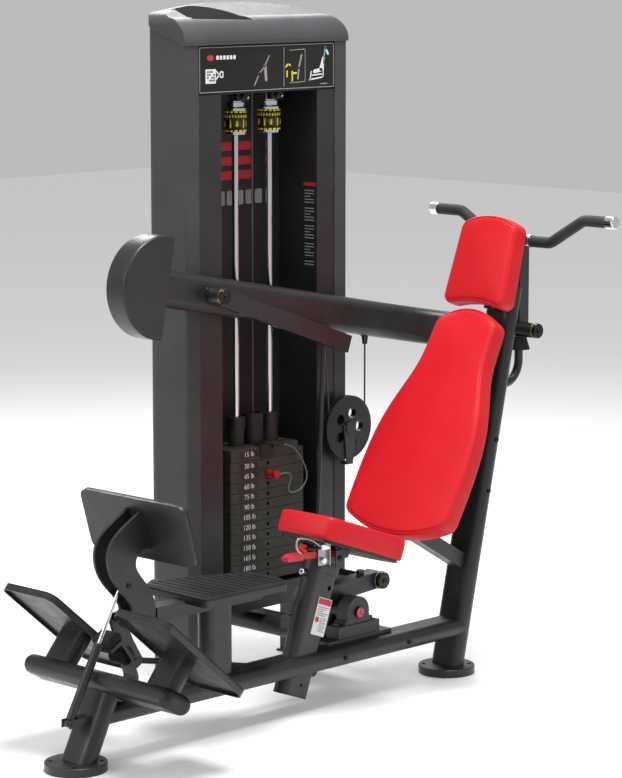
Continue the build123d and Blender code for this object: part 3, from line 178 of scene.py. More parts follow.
MATS = {
    "powder": finish("powder", (0.014, 0.0145, 0.0155), 0.36, vary=0.2, speckle=(0.035, 0.036, 0.038),
                     grain=0.35, grain_scale=1100, wear=0.4, wear_color=(0.05, 0.05, 0.052),
                     specular=0.5),
    "powder_grey": finish("powder_grey", (0.050, 0.052, 0.055), 0.50, vary=0.10,
                          speckle=(0.105, 0.108, 0.112), grain=0.3, grain_scale=1100, wear=0.3,
                          wear_color=(0.14, 0.14, 0.145), specular=0.22, rough_vary=0.03),
    "black_plastic": finish("black_plastic", (0.010, 0.010, 0.011), 0.45, grain=0.25, grain_scale=900,
                            specular=0.4),
    "tread_rubber": finish("tread_rubber", (0.014, 0.014, 0.015), 0.62, vary=0.35, grain=0.5,
                           grain_scale=500, speckle=(0.04, 0.04, 0.04), speckle_scale=600,
                           specular=0.3),
    "rubber": finish("rubber", (0.011, 0.011, 0.011), 0.7, vary=0.3, grain=0.4, grain_scale=400,
                     specular=0.3),
    "vinyl_red": finish("vinyl_red", (0.56, 0.006, 0.013), 0.46, vary=0.06, vary_scale=5, grain=0.28,
                        grain_scale=620, cells=True, specular=0.32, rough_vary=0.05, bevel=0.0005),
    "thread": finish("thread", (0.36, 0.003, 0.010), 0.7, vary=0.2, grain=0.4, grain_scale=2500),
    "board": finish("board", (0.014, 0.014, 0.015), 0.6, grain=0.5, grain_scale=500, specular=0.3),
    "zinc": finish("zinc", (0.42, 0.42, 0.43), 0.32, metallic=1.0, vary=0.2, grain=0.15,
                   grain_scale=900),
    "bolt_black": finish("bolt_black", (0.035, 0.035, 0.038), 0.3, metallic=0.9, vary=0.3),
    "chrome": finish("chrome", (0.74, 0.74, 0.75), 0.09, metallic=1.0, vary=0.05, rough_vary=0.03),
    "plate_iron": finish("plate_iron", (0.036, 0.036, 0.029), 0.55, vary=0.25, vary_scale=20,
                         speckle=(0.07, 0.07, 0.06), speckle_scale=700, grain=0.6,
                         grain_scale=500, wear=0.6, wear_color=(0.10, 0.10, 0.09), specular=0.3),
    "selector_red": finish("selector_red", (0.50, 0.012, 0.02), 0.3, metallic=0.4, vary=0.2,
                           grain=0.9, grain_scale=420, cells=True),
    "release_red": finish("release_red", (0.52, 0.010, 0.018), 0.4, vary=0.15, grain=0.3),
    "foam": finish("foam", (0.020, 0.021, 0.023), 0.72, vary=0.25, grain=0.7, grain_scale=800,
                   speckle=(0.045, 0.045, 0.048), specular=0.4),
    "steel_cable": finish("steel_cable", (0.05, 0.05, 0.05), 0.35, vary=0.3, grain=0.6,
                          grain_scale=900),
    "header": finish("header", (0.014, 0.013, 0.012), 0.4, vary=0.25, grain=0.1, grain_scale=300,
                     specular=0.25),
    "lanyard": finish("lanyard", (0.14, 0.14, 0.145), 0.4, vary=0.2, grain=0.3, grain_scale=900),
    "bronze": finish("bronze", (0.50, 0.33, 0.13), 0.35, metallic=1.0, vary=0.2, grain=0.2),
    "print_white": finish("print_white", (0.72, 0.72, 0.70), 0.5, vary=0.04, grain=0.05),
    "print_red": finish("print_red", (0.55, 0.015, 0.025), 0.5, vary=0.06, grain=0.05),
    "print_grey": finish("print_grey", (0.26, 0.26, 0.26), 0.5, vary=0.06, grain=0.05),
    "print_yellow": finish("print_yellow", (0.76, 0.64, 0.0), 0.45, vary=0.05, grain=0.05),
    "print_blue": finish("print_blue", (0.05, 0.42, 0.62), 0.5, vary=0.06, grain=0.05),
    "print_black": finish("print_black", (0.008, 0.008, 0.008), 0.4, vary=0.2, grain=0.05),
}


def dress_frame():
    """Give every CAD node its procedural material."""
    own = {"frame_bolts": "bolt_black", "arm_axle": "bolt_black", "rocker_pins": "bolt_black",
           "back_panel": "powder", "lever_pins": "bolt_black", "arm_fittings": "bolt_black"}
    for entry in frame["record"]["subparts"]:
        name = own.get(entry["node"], entry["material_slot"])
        node = nodes[entry["node"]]
        node.data.materials.clear()
        node.data.materials.append(MATS[name])


# ---- piece helpers -----------------------------------------------------------------------
def piece(name, data, mat, body="root", smooth=True):
    """Make an object that rides on a body and wears a material."""
    obj = bpy.data.objects.new(name, data)
    bpy.context.scene.collection.objects.link(obj)
    obj.data.materials.append(MATS[mat])
    if smooth and isinstance(data, bpy.types.Mesh):
        data.polygons.foreach_set("use_smooth", [True] * len(data.polygons))
    if body:
        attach(obj, body)
    return obj


def from_bmesh(name, bm, mat, body="root", smooth=True):
    """Turn a bmesh into a piece."""
    bmesh.ops.recalc_face_normals(bm, faces=bm.faces)
    mesh = bpy.data.meshes.new(name)
    bm.to_mesh(mesh)
    bm.free()
    return piece(name, mesh, mat, body, smooth)


def rings_to_faces(bm, rings, closed_ring=True):
    """Quads between consecutive rings of vertices."""
    count = len(rings[0])
    for low, high in zip(rings, rings[1:]):
        for k in range(count if closed_ring else count - 1):
            n = (k + 1) % count
            bm.faces.new((low[k], low[n], high[n], high[k]))


def turned(bm, start, axis, profile, segments=40):
    """Surface of revolution: profile is (distance along the axis, radius) pairs."""
    axis = Vector(axis).normalized()
    side = axis.orthogonal().normalized()
    other = axis.cross(side)
    rings = []
    for along, radius in profile:
        ring = []
        for k in range(segments):
            a = 2 * math.pi * k / segments
            ring.append(bm.verts.new(Vector(start) + axis * along
                                     + (side * math.cos(a) + other * math.sin(a)) * radius))
        rings.append(ring)
    rings_to_faces(bm, rings)
    bm.faces.new(rings[0])
    bm.faces.new(rings[-1])


def tube_mesh(bm, points, radius, sides=12):
    """Round tube along points, with a twist-free frame and closed ends."""
    points = [Vector(p) for p in points]
    rings, side = [], None
    for k, point in enumerate(points):
        ahead = points[min(k + 1, len(points) - 1)] - points[max(k - 1, 0)]
        ahead.normalize()
        side = ahead.orthogonal() if side is None else side - ahead * side.dot(ahead)
        side.normalize()
        other = ahead.cross(side)
        rings.append([bm.verts.new(point + (side * math.cos(a) + other * math.sin(a)) * radius)
                      for a in (2 * math.pi * s / sides for s in range(sides))])
    rings_to_faces(bm, rings)
    bm.faces.new(rings[0])
    bm.faces.new(rings[-1])


def smooth_line(points, order=3, steps=12):
    """Points read from a NURBS spline through a route's control points."""
    curve = nurbs("line", points, order, steps)
    holder = bpy.data.objects.new("line", curve)
    mesh = bpy.data.meshes.new_from_object(holder)
    line = [v.co.copy() for v in mesh.vertices]
    bpy.data.objects.remove(holder)
    bpy.data.meshes.remove(mesh)
    bpy.data.curves.remove(curve)
    return line


def nurbs(name, points, order, steps):
    """Open NURBS curve that starts and ends at its end points."""
    curve = bpy.data.curves.new(name, "CURVE")
    curve.dimensions = "3D"
    curve.resolution_u = steps
    spline = curve.splines.new("NURBS")
    spline.points.add(len(points) - 1)
    for slot, point in zip(spline.points, points):
        slot.co = (*point, 1)
    spline.order_u = order
    spline.use_endpoint_u = True
    return curve


# ---- upholstery --------------------------------------------------------------------------
def outline_of(node, origin, normal):
    """Outline of a pad's flat back, as (u, v) points, and the pad's thickness."""
    across = Vector((1, 0, 0))
    up = normal.cross(across)
    bm = bmesh.new()
    bm.from_mesh(nodes[node].data)
    bmesh.ops.remove_doubles(bm, verts=bm.verts, dist=1e-5)
    depth = [(v.co - origin).dot(normal) for v in bm.verts]
    back = min(depth)
    edges = {}
    for edge in bm.edges:
        if all(abs((v.co - origin).dot(normal) - back) < 3e-4 for v in edge.verts):
            flat = [abs(f.normal.dot(normal)) > 0.99 for f in edge.link_faces]
            if flat.count(True) == 1:
                for a, b in (edge.verts, reversed(edge.verts)):
                    edges.setdefault(a, []).append(b)
    first = at = next(iter(edges))
    loop, came = [], None
    while True:
        loop.append(at)
        nxt = [v for v in edges[at] if v is not came]
        came, at = at, nxt[0]
        if at is first or len(loop) > 5000:
            break
    flat = [((v.co - origin).dot(across), (v.co - origin).dot(up)) for v in loop]
    bm.free()
    return even(flat, 0.005), back, max(depth) - back


def even(loop, spacing):
    """Closed loop of (u, v) points resampled at equal spacing, counter-clockwise."""
    loop = [Vector(p) for p in loop]
    area = sum(a.x * b.y - b.x * a.y for a, b in zip(loop, loop[1:] + loop[:1]))
    if area < 0:
        loop.reverse()
    lengths = [(b - a).length for a, b in zip(loop, loop[1:] + loop[:1])]
    total = sum(lengths)
    count = int(total / spacing)
    points, k, run = [], 0, 0.0
    for n in range(count):
        target = total * n / count
        while run + lengths[k] < target:
            run += lengths[k]
            k += 1
        a, b = loop[k], loop[(k + 1) % len(loop)]
        points.append(a.lerp(b, (target - run) / max(lengths[k], 1e-9)))
    return points


def inset_loop(loop, amount):
    """Loop moved inwards along its own normals."""
    count = len(loop)
    moved = []
    for k in range(count):
        tangent = loop[(k + 2) % count] - loop[k - 2]
        inward = Vector((-tangent.y, tangent.x)).normalized()
        moved.append(loop[k] + inward * amount)
    return moved


def edge_distance(point, loop):
    """Shortest distance from a point to a dense loop."""
    return min((point - q).length for q in loop)


PROFILE_THICK = 0.052       # pad thickness that the profile below is drawn for
# (inset from the outline, height above the board)
PAD_PROFILE = [(0.009, 0.0), (0.003, 0.0), (0.0, 0.003), (-0.0006, 0.010), (-0.001, 0.018),
               (-0.001, 0.026), (-0.0008, 0.034), (-0.0002, 0.041), (0.0006, 0.0458), (0.0018, 0.0486),
               (0.0034, 0.0500), (0.0048, 0.0503), (0.0060, 0.0494), (0.0068, 0.0486),
               (0.0076, 0.0495), (0.0088, 0.0507), (0.0115, 0.0517), (0.0165, 0.0527),
               (0.0225, 0.0533)]


def pad(name, node, origin, normal, body="root", crown=0.006):
    """Upholstered pad: pulled-in sides, a sewn seam round the front, and a crowned face."""
    origin, normal = Vector(origin), Vector(normal).normalized()
    across = Vector((1, 0, 0))
    up = normal.cross(across)
    loop, back, thick = outline_of(node, origin, normal)

    def place(flat, height):
        return origin + across * flat.x + up * flat.y + normal * (back + height)

    bm = bmesh.new()
    rings = []
    scale = thick / PROFILE_THICK
    for inset, height in PAD_PROFILE:
        rings.append([bm.verts.new(place(p, height * scale)) for p in inset_loop(loop, inset)])
    rings_to_faces(bm, rings)
    bm.faces.new(list(reversed(rings[0])))
    rim = inset_loop(loop, PAD_PROFILE[-1][0])
    low = Vector((min(p.x for p in rim), min(p.y for p in rim)))
    high = Vector((max(p.x for p in rim), max(p.y for p in rim)))
    step = 0.009
    inner = []
    for row in range(int((high.y - low.y) / step) + 1):
        for col in range(int((high.x - low.x) / step) + 2):
            at = Vector((low.x + (col + 0.5 * (row % 2)) * step, low.y + row * step))
            if inside(at, rim) and edge_distance(at, rim) > 0.006:
                inner.append(at)
    count = len(rim)
    border = [(k, (k + 1) % count) for k in range(count)]
    points, _, faces, _, _, _ = geometry.delaunay_2d_cdt(rim + inner, border, [list(range(count))],
                                                         1, 1e-7)
    verts = list(rings[-1])
    base = PAD_PROFILE[-1][1] * scale
    for p in points[count:]:
        d = edge_distance(p, rim)
        verts.append(bm.verts.new(place(p, base + crown * (1 - math.exp(-d / 0.055)))))
    for face in faces:
        bm.faces.new([verts[k] for k in face])
    obj = from_bmesh(name, bm, "vinyl_red", body)
    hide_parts(node)
    stitches(name + "_stitches", [place(p, 0.0515 * scale) for p in inset_loop(loop, 0.0105)],
             normal, body)


def inside(point, loop):
    """Is a point inside a closed loop?"""
    hit = False
    for a, b in zip(loop, loop[1:] + loop[:1]):
        if (a.y > point.y) != (b.y > point.y):
            if point.x < (b.x - a.x) * (point.y - a.y) / (b.y - a.y) + a.x:
                hit = not hit
    return hit


def stitches(name, line, normal, body):
    """Row of thread stitches beside a seam."""
    bm = bmesh.new()
    half, thick = 0.0019, 0.00045
    for a, b in zip(line, line[1:] + line[:1]):
        ahead = (b - a).normalized()
        side = normal.cross(ahead)
        mid = (a + b) / 2
        ends = [bm.verts.new(mid + ahead * half * s) for s in (-1, 1)]
        ring = [bm.verts.new(mid + (side * math.cos(t) + normal * math.sin(t)) * thick)
                for t in (k * math.pi / 2 for k in range(4))]
        for k in range(4):
            n = (k + 1) % 4
            bm.faces.new((ends[0], ring[n], ring[k]))
            bm.faces.new((ends[1], ring[k], ring[n]))
    from_bmesh(name, bm, "thread", body)


def lean_normal(degrees):
    """Normal of a pad that leans back from upright."""
    a = math.radians(degrees)
    return (0, -math.cos(a), math.sin(a))


def upholstery():
    """Seat, backrest and head pad."""
    up = (0, math.sin(SEAT_LEAN), math.cos(SEAT_LEAN))
    pad("seat_upholstery", "seat_cushion", (0, 0.797, 0.531), up, "seat", crown=0.004)
    pad("back_upholstery", "back_pad", (0, 1.287, 0.720), lean_normal(30))
    pad("head_upholstery", "head_pad", (0, 1.494, 1.134), lean_normal(18), crown=0.005)


# ---- flat prints -------------------------------------------------------------------------
class Sheet:
    """Flat prints on one plane: origin, two in-plane directions and the normal between them."""

    def __init__(self, origin, right, up):
        self.origin, self.right, self.up = Vector(origin), Vector(right), Vector(up)
        self.normal = self.right.cross(self.up).normalized()

    def at(self, u, v, lift=0.0):
        return self.origin + self.right * u + self.up * v + self.normal * lift

    def shape(self, bm, points, lift, thick):
        """Closed prism over an outline of (u, v) points."""
        low = [bm.verts.new(self.at(u, v, lift)) for u, v in points]
        high = [bm.verts.new(self.at(u, v, lift + thick)) for u, v in points]
        rings_to_faces(bm, [low, high])
        bm.faces.new(low)
        bm.faces.new(high)

    def box(self, bm, u0, v0, u1, v1, lift=0.0, thick=0.0003, round_by=0.0):
        """Rectangle with rounded corners."""
        r = min(round_by, (u1 - u0) / 2 - 1e-5, (v1 - v0) / 2 - 1e-5)
        if r <= 0:
            points = [(u0, v0), (u1, v0), (u1, v1), (u0, v1)]
        else:
            points = []
            for cu, cv, start in ((u1 - r, v0 + r, -90), (u1 - r, v1 - r, 0), (u0 + r, v1 - r, 90),
                                  (u0 + r, v0 + r, 180)):
                for k in range(5):
                    a = math.radians(start + k * 22.5)
                    points.append((cu + r * math.cos(a), cv + r * math.sin(a)))
        self.shape(bm, points, lift, thick)

    def stroke(self, bm, points, width, lift=0.0, thick=0.0003):
        """Chain of round-ended strokes."""
        for (u0, v0), (u1, v1) in zip(points, points[1:]):
            length = math.hypot(u1 - u0, v1 - v0)
            du, dv = (u1 - u0) / length * width / 2, (v1 - v0) / length * width / 2
            ends = []
            for cu, cv, sign in ((u1, v1, 1), (u0, v0, -1)):
                for k in range(5):
                    a = math.radians(-90 + 45 * k)
                    c, s = math.cos(a) * sign, math.sin(a) * sign
                    ends.append((cu + du * c - dv * s, cv + dv * c + du * s))
            self.shape(bm, ends, lift, thick)


def prints(name, sheet, mat, boxes=(), strokes=(), body="root", lift=0.0):
    """One piece made of several flat shapes of one colour."""
    bm = bmesh.new()
    for box in boxes:
        sheet.box(bm, *box[:4], lift=lift, round_by=box[4] if len(box) > 4 else 0.0)
    for width, points in strokes:
        sheet.stroke(bm, points, width, lift=lift)
    return from_bmesh(name, bm, mat, body, smooth=False)


def header_prints():
    """Generic pictures on the header: a plain mark, a code block and two machine sketches."""
    face = Sheet((TOWER_FACE_X - 0.0008, 0.772, 1.604), (0, 1, 0), (0, 0, 1))
    prints("header_marks_white", face, "print_white", boxes=[
        (0.024, 0.026, 0.062, 0.064, 0.002), (0.076, 0.040, 0.090, 0.058, 0.004)]
        + [(0.064 + 0.0125 * k, 0.088, 0.073 + 0.0125 * k, 0.099, 0.002) for k in range(6)],
        strokes=[(0.004, [(0.064, 0.038), (0.074, 0.048), (0.064, 0.058)])])
    prints("header_marks_dark", face, "print_black", lift=0.0003, boxes=[
        (0.030 + 0.0075 * i, 0.032 + 0.0075 * j, 0.035 + 0.0075 * i, 0.037 + 0.0075 * j)
        for i in range(4) for j in range(4) if (i * 3 + j * 5) % 4]
        + [(0.080, 0.044, 0.086, 0.054, 0.002)])
    prints("header_mark_red", face, "print_red", boxes=[(0.030, 0.086, 0.054, 0.101, 0.007)], strokes=[
        (0.006, [(0.222, 0.044), (0.226, 0.050)]), (0.004, [(0.476, 0.112), (0.486, 0.105)])])
    prints("header_rules", face, "print_grey", strokes=[
        (0.0022, [(0.003, 0.003), (0.512, 0.003), (0.512, 0.121), (0.003, 0.121), (0.003, 0.003)]),
        (0.0022, [(0.318, 0.010), (0.318, 0.114)]),
        (0.0022, [(0.340, 0.106), (0.400, 0.108), (0.400, 0.020), (0.340, 0.018)]),
        (0.004, [(0.206, 0.016), (0.222, 0.044), (0.246, 0.068), (0.262, 0.094)]),
        (0.010, [(0.246, 0.068), (0.250, 0.030)]), (0.003, [(0.460, 0.012), (0.486, 0.012)]),
        (0.006, [(0.372, 0.028), (0.376, 0.058), (0.386, 0.092)])])
    prints("header_sketch_white", face, "print_white", strokes=[
        (0.004, [(0.416, 0.024), (0.470, 0.030), (0.474, 0.080)]),
        (0.004, [(0.420, 0.024), (0.424, 0.046)]), (0.010, [(0.436, 0.046), (0.462, 0.050)]),
        (0.012, [(0.462, 0.052), (0.472, 0.080)]), (0.004, [(0.428, 0.036), (0.464, 0.038)]),
        (0.006, [(0.484, 0.104), (0.490, 0.092)])])
    prints("header_sketch_yellow", face, "print_yellow", strokes=[
        (0.005, [(0.326, 0.062), (0.334, 0.070), (0.342, 0.066)]),
        (0.005, [(0.330, 0.050), (0.330, 0.036)]), (0.005, [(0.350, 0.024), (0.350, 0.048)]),
        (0.005, [(0.354, 0.044), (0.366, 0.044)])])
    prints("header_sketch_blue", face, "print_blue", strokes=[(0.005, [(0.474, 0.084), (0.480, 0.112)])])


def tower_labels():
    """Generic notice on the inner wall, plain mark on the back panel, notice on the seat post."""
    wall = Sheet((-0.415, 1.2194, 1.093), (1, 0, 0), (0, 0, 1))
    pitch = 0.0082
    rows = [(0.006, 0.235 - pitch * k, 0.028 if k % 3 == 0 else 0.042, 0.238 - pitch * k)
            for k in range(27) if k % 6]
    prints("wall_notice_text", wall, "print_grey", boxes=rows)
    prints("wall_notice_head", wall, "print_red", boxes=[(0.002, 0.241, 0.048, 0.251, 0.001)])
    back = Sheet((-0.5088, 0.960, 1.270), (0, 1, 0), (0, 0, 1))
    bars = [(0.020, 0.085 + 0.040 * k, 0.150, 0.109 + 0.040 * k, 0.008) for k in range(3)]
    prints("back_mark_red", back, "print_red", boxes=bars)
    prints("back_mark_grey", back, "print_grey", boxes=[
        (0.020 + 0.036 * k, 0.015, 0.048 + 0.036 * k, 0.055, 0.006) for k in range(5)])
    up = (0, math.sin(SEAT_LEAN), math.cos(SEAT_LEAN))
    across = (0, math.cos(SEAT_LEAN), -math.sin(SEAT_LEAN))
    post = Sheet((0.0252, 0.796, 0.208), across, up)
    prints("post_notice", post, "print_white", boxes=[(0.0, 0.0, 0.052, 0.100, 0.002)])
    prints("post_notice_head", post, "print_red", lift=0.0003, boxes=[
        (0.002, 0.082, 0.050, 0.098, 0.001), (0.004, 0.034, 0.018, 0.048, 0.003)])
    prints("post_notice_text", post, "print_grey", lift=0.0003, boxes=[
        (0.005, 0.074 - 0.0055 * k, 0.047 - 0.010 * (k % 3), 0.0762 - 0.0055 * k) for k in range(5)]
        + [(0.022, 0.044 - 0.0055 * k, 0.047 - 0.006 * (k % 2), 0.0462 - 0.0055 * k)
           for k in range(7)])


def plate_badges():
    """Black badges with plain numbers on the weight plates."""
    face = Sheet((PLATE_FACE_X, 0, 0), (0, 1, 0), (0, 0, 1))
    left, right, half, thick = 0.932, 1.003, 0.0095, 0.0005
    top_step = 0.004
    resting, lifted = range(PLATES - LIFTED), range(PLATES - LIFTED, PLATES + 1)
    for body, levels in (("root", resting), ("stack", lifted)):
        badge, digits = bmesh.new(), bmesh.new()
        for level in levels:
            z = PLATE_BOTTOM + PLATE_PITCH * level + PLATE_T / 2 + (top_step if level == PLATES else 0)
            face.box(badge, left, z - half, right, z + half, thick=thick, round_by=0.0025)
            pounds = PLATE_POUNDS * (PLATES + 1 - level)
            number(digits, f"{pounds} lb", (PLATE_FACE_X + thick, (left + right) / 2, z), 0.0195)
        from_bmesh(f"badges_{body}", badge, "print_black", body, smooth=False)
        from_bmesh(f"numbers_{body}", digits, "print_white", body, smooth=False)


def number(bm, text, at, size):
    """Raised text facing +X, centred at a point."""
    font = bpy.data.curves.new("digits", "FONT")
    font.body = text
    font.size = size
    font.align_x = font.align_y = "CENTER"
    font.extrude = 0.00015
    holder = bpy.data.objects.new("digits", font)
    mesh = bpy.data.meshes.new_from_object(holder)
    mesh.transform(Matrix.Translation(at) @ Matrix(((0, 0, 1, 0), (1, 0, 0, 0), (0, 1, 0, 0),
                                                    (0, 0, 0, 1))))
    bm.from_mesh(mesh)
    bpy.data.objects.remove(holder)
    bpy.data.meshes.remove(mesh)
    bpy.data.curves.remove(font)


def add_on_bands():
    """Yellow and black bands round the add-on weights."""
    low, high, radius, lift = 1.494, 1.550, 0.0313, 0.0004
    black = [(low, high, 0, 360, 0.0)]
    yellow = [(z, z + 0.005, 24 * k, 24 * k + 17, lift) for z in (low, high - 0.005) for k in range(15)]
    yellow += [(1.532, 1.540, 15 * k, 15 * k + 8, lift) for k in range(24)]
    yellow += [(1.504, 1.527, 72 * k, 72 * k + 9, lift) for k in range(5)]
    yellow += [(1.508, 1.524, 72 * k + 32, 72 * k + 44, lift) for k in range(5)]
    for name, side in (("front", -1), ("rear", 1)):
        centre = (STACK_X, STACK_Y + side * ROD_OFFSET)
        for colour, spans in (("black", black), ("yellow", yellow)):
            bm = bmesh.new()
            for z0, z1, a0, a1, out in spans:
                arc_band(bm, centre, z0, z1, a0, a1, radius + out)
            from_bmesh(f"{name}_band_{colour}", bm, "print_" + colour, name + "_weight")


def arc_band(bm, centre, z0, z1, a0, a1, radius):
    """Thin curved plate round a vertical cylinder."""
    count = max(2, int((a1 - a0) / 6))
    rows = []
    for k in range(count + 1):
        a = math.radians(a0 + (a1 - a0) * k / count)
        rows.append([bm.verts.new((centre[0] + math.cos(a) * r, centre[1] + math.sin(a) * r, z))
                     for r, z in ((radius, z0), (radius, z1), (radius - 0.0006, z1),
                                  (radius - 0.0006, z0))])
    rings_to_faces(bm, rows)
    if a1 - a0 < 360:
        bm.faces.new(rows[0])
        bm.faces.new(rows[-1])
    else:
        bmesh.ops.remove_doubles(bm, verts=rows[0] + rows[-1], dist=1e-6)


# ---- cables and lanyard ------------------------------------------------------------------
def wire(name, node, body="root"):
    """Upright cable run in place of a CAD node: the piece and the centres of its two ends."""
    low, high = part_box(node)
    x, y = (low[0] + high[0]) / 2, (low[1] + high[1]) / 2
    step = (high[2] - low[2]) / WIRE_STEPS
    bm = bmesh.new()
    tube_mesh(bm, [(x, y, low[2] + step * k) for k in range(WIRE_STEPS + 1)], CABLE_R, 10)
    obj = from_bmesh(name, bm, "steel_cable", body)
    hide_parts(node)
    return obj, Vector((x, y, low[2])), Vector((x, y, high[2]))


def cables():
    """Stack cable and arm cable, each a straight upright run in place of its CAD node."""
    cable, low, high = wire("stack_wire", "stack_cable")
    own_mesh(cable)
    cable, low, high = wire("arm_wire", "arm_cable", body=None)
    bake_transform(cable)


def lanyard():
    """Coated cord from the clip to the selector pin."""
    line = smooth_line(LANYARD)
    bm = bmesh.new()
    tube_mesh(bm, line, LANYARD_D / 2, 12)
    cord = from_bmesh("lanyard_cord", bm, "lanyard", "stack")
    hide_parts("pin_lanyard")
    length = sum((b - a).length for a, b in zip(line, line[1:]))
    [tuple(p) for p in line]


# ---- hardware ----------------------------------------------------------------------------
def ring(name, centre, axis, inner, outer, length, mat, body="root"):
    """Ring with rounded edges on an axis."""
    axis = Vector(axis).normalized()
    side = axis.orthogonal().normalized()
    other = axis.cross(side)
    r = min(0.0008, length / 4, (outer - inner) / 4)
    half = length / 2
    section = [(inner, -half + r), (inner + r, -half), (outer - r, -half), (outer, -half + r),
               (outer, half - r), (outer - r, half), (inner + r, half), (inner, half - r)]
    bm = bmesh.new()
    rows = []
    for k in range(48):
        a = 2 * math.pi * k / 48
        out = side * math.cos(a) + other * math.sin(a)
        rows.append([bm.verts.new(Vector(centre) + out * radius + axis * along)
                     for radius, along in section])
    rings_to_faces(bm, rows + [rows[0]])
    return from_bmesh(name, bm, mat, body, smooth=False)


def bar(name, start, end, radius, mat, body="root", edge=0.001):
    """Round bar with softened ends."""
    bm = bmesh.new()
    length = (Vector(end) - Vector(start)).length
    turned(bm, start, Vector(end) - Vector(start),
           [(0, radius - edge), (edge * 0.3, radius - edge * 0.3), (edge, radius),
            (length - edge, radius), (length - edge * 0.3, radius - edge * 0.3),
            (length, radius - edge)])
    return from_bmesh(name, bm, mat, body, smooth=False)


def slab(name, low, high, mat, body="root", edge=0.0015):
    """Box with softened edges between two corners."""
    bm = bmesh.new()
    bmesh.ops.create_cube(bm, size=1)
    low, high = Vector(low), Vector(high)
    for vert in bm.verts:
        vert.co = Vector([low[k] + (vert.co[k] + 0.5) * (high[k] - low[k]) for k in range(3)])
    bmesh.ops.bevel(bm, geom=bm.edges[:], offset=edge, segments=2, profile=0.5, affect="EDGES")
    return from_bmesh(name, bm, mat, body, smooth=False)


def hardware():
    """Bronze bushing rings, weight catches and the cap on the rocker's shaft."""
    y, z = ARM_PIVOT.y, ARM_PIVOT.z
    ring("arm_bushing", (-0.2548, y, z), (1, 0, 0), 0.0212, 0.0222, 0.002, "bronze")
    ring("yoke_bushing", (0.0595, HUB.y, HUB.z), (1, 0, 0), 0.0205, 0.0218, 0.003, "bronze", "arm")
    ring("rocker_bushing", (-0.047, ROCKER_BOSS.y, ROCKER_BOSS.z), (1, 0, 0), 0.0232, 0.0246, 0.003,
         "bronze", "rocker")
    for name, side in (("front", -1), ("rear", 1)):
        rod_y = STACK_Y + side * ROD_OFFSET
        ring(name + "_catch_collar", (STACK_X, rod_y, 1.567), (0, 0, 1), 0.0202, 0.0265, 0.013, "chrome")
        slab(name + "_catch_body", (-0.418, rod_y - 0.025, 1.577), (-0.398, rod_y + 0.021, 1.5985),
             "black_plastic", edge=0.003)
        bar(name + "_catch_knob", (-0.399, rod_y - 0.006, 1.589), (-0.390, rod_y - 0.006, 1.589), 0.007,
            "bolt_black", edge=0.002)
        bar(name + "_catch_pin", (-0.399, rod_y + 0.013, 1.586), (-0.394, rod_y + 0.013, 1.586), 0.0035,
            "chrome")
    face_x, r = 0.0096, 0.0085
    bar("shaft_cap", (0.0081, ROCKER_HUB.y, ROCKER_HUB.z), (face_x, ROCKER_HUB.y, ROCKER_HUB.z), 0.0145,
        "print_red", "rocker", edge=0.0005)
    cap = Sheet((face_x, ROCKER_HUB.y, ROCKER_HUB.z), (0, 1, 0), (0, 0, 1))
    arc = [(r * math.cos(math.radians(a)), r * math.sin(math.radians(a))) for a in range(-240, 61, 20)]
    prints("shaft_cap_ring", cap, "print_white", strokes=[(0.0022, arc)], body="rocker")


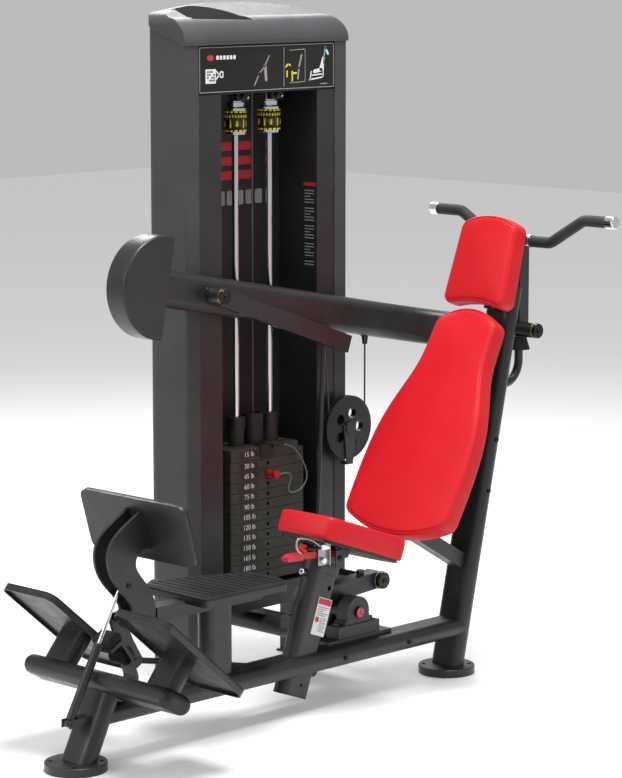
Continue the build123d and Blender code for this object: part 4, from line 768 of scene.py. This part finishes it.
def seat_hardware():
    """Adjuster bracket, wire handle and drum under the seat, and the button on its post."""
    slab("adjuster_plate", (0.0365, 0.812, 0.388), (0.0395, 0.850, 0.450), "zinc", "seat")
    slab("adjuster_flange", (0.0365, 0.846, 0.386), (0.0475, 0.850, 0.442), "zinc", "seat", edge=0.001)
    slab("adjuster_step", (0.0395, 0.818, 0.430), (0.0475, 0.848, 0.446), "chrome", "seat")
    bar("adjuster_roller", (0.0395, 0.826, 0.402), (0.049, 0.826, 0.402), 0.0085, "chrome", "seat")
    slab("adjuster_cheek", (0.0445, 0.868, 0.374), (0.0485, 0.902, 0.424), "powder", "seat")
    bar("adjuster_bolt", (0.0485, 0.885, 0.400), (0.0525, 0.885, 0.400), 0.0075, "bolt_black", "seat",
        edge=0.002)
    bm = bmesh.new()
    tube_mesh(bm, smooth_line([(0.045, 0.812, 0.440), (0.045, 0.790, 0.462), (0.045, 0.735, 0.476),
                               (0.045, 0.724, 0.470), (0.045, 0.724, 0.442), (0.045, 0.742, 0.434)]),
              0.0026, 12)
    from_bmesh("adjuster_wire", bm, "zinc", "seat")
    bar("adjuster_drum", (0.0255, 0.760, 0.443), (0.0415, 0.760, 0.443), 0.0105, "selector_red",
        "release")
    bar("adjuster_link", (0.045, 0.764, 0.443), (0.045, 0.812, 0.437), 0.004, "bolt_black", "seat")
    out = Vector((0, -math.cos(SEAT_LEAN), math.sin(SEAT_LEAN)))
    knob = Vector((0, 0.7911, 0.3720))
    bar("post_button", knob + out * 0.0001, knob + out * 0.004, 0.0085, "chrome")
    bar("post_button_dot", knob + out * 0.004, knob + out * 0.0048, 0.003, "print_black", edge=0.0003)


# ---- studio ------------------------------------------------------------------------------
def floor_plane():
    """Pale floor of the studio, which isn't part of the object."""
    bm = bmesh.new()
    bmesh.ops.create_grid(bm, x_segments=1, y_segments=1, size=14)
    mesh = bpy.data.meshes.new("floor")
    bm.to_mesh(mesh)
    bm.free()
    floor = bpy.data.objects.new("floor", mesh)
    floor.location.z = -0.0005
    bpy.context.scene.collection.objects.link(floor)
    pale = bpy.data.materials.new("floor")
    pale.use_nodes = True
    shader = pale.node_tree.nodes["Principled BSDF"]
    shader.inputs["Base Color"].default_value = (0.72, 0.72, 0.72, 1)
    shader.inputs["Roughness"].default_value = 0.9
    shader.inputs["Emission Color"].default_value = (1, 1, 1, 1)
    shader.inputs["Emission Strength"].default_value = 0.18
    mesh.materials.append(pale)


# name, place, size, power
LAMPS = (("key", (-1.6, -4.6, 3.2), 2.6, 90), ("top", (0.6, 0.8, 5.2), 2.0, 300),
         ("rim", (-3.0, 3.2, 3.6), 2.0, 120), ("side", (4.6, 0.4, 3.4), 1.0, 8))
LAMP_AIM = Vector((0, 0.8, 0.8))


def studio():
    """White floor under soft lamps."""
    floor_plane()
    world = bpy.data.worlds.new("studio")
    world.use_nodes = True
    world.node_tree.nodes["Background"].inputs["Color"].default_value = (1, 1, 1, 1)
    world.node_tree.nodes["Background"].inputs["Strength"].default_value = 0.5
    bpy.context.scene.world = world
    for name, place, size, power in LAMPS:
        light = bpy.data.lights.new(name, "AREA")
        light.size = size
        light.energy = power
        lamp = bpy.data.objects.new(name, light)
        lamp.location = place
        lamp.rotation_euler = (LAMP_AIM - Vector(place)).to_track_quat("-Z", "Y").to_euler()
        bpy.context.scene.collection.objects.link(lamp)
    bpy.context.scene.view_settings.view_transform = "Standard"


# ---- build ---------------------------------------------------------------------------------
camera()
lanyard()
dress_frame()
upholstery()
header_prints()
tower_labels()
plate_badges()
add_on_bands()
cables()
hardware()
seat_hardware()
studio()
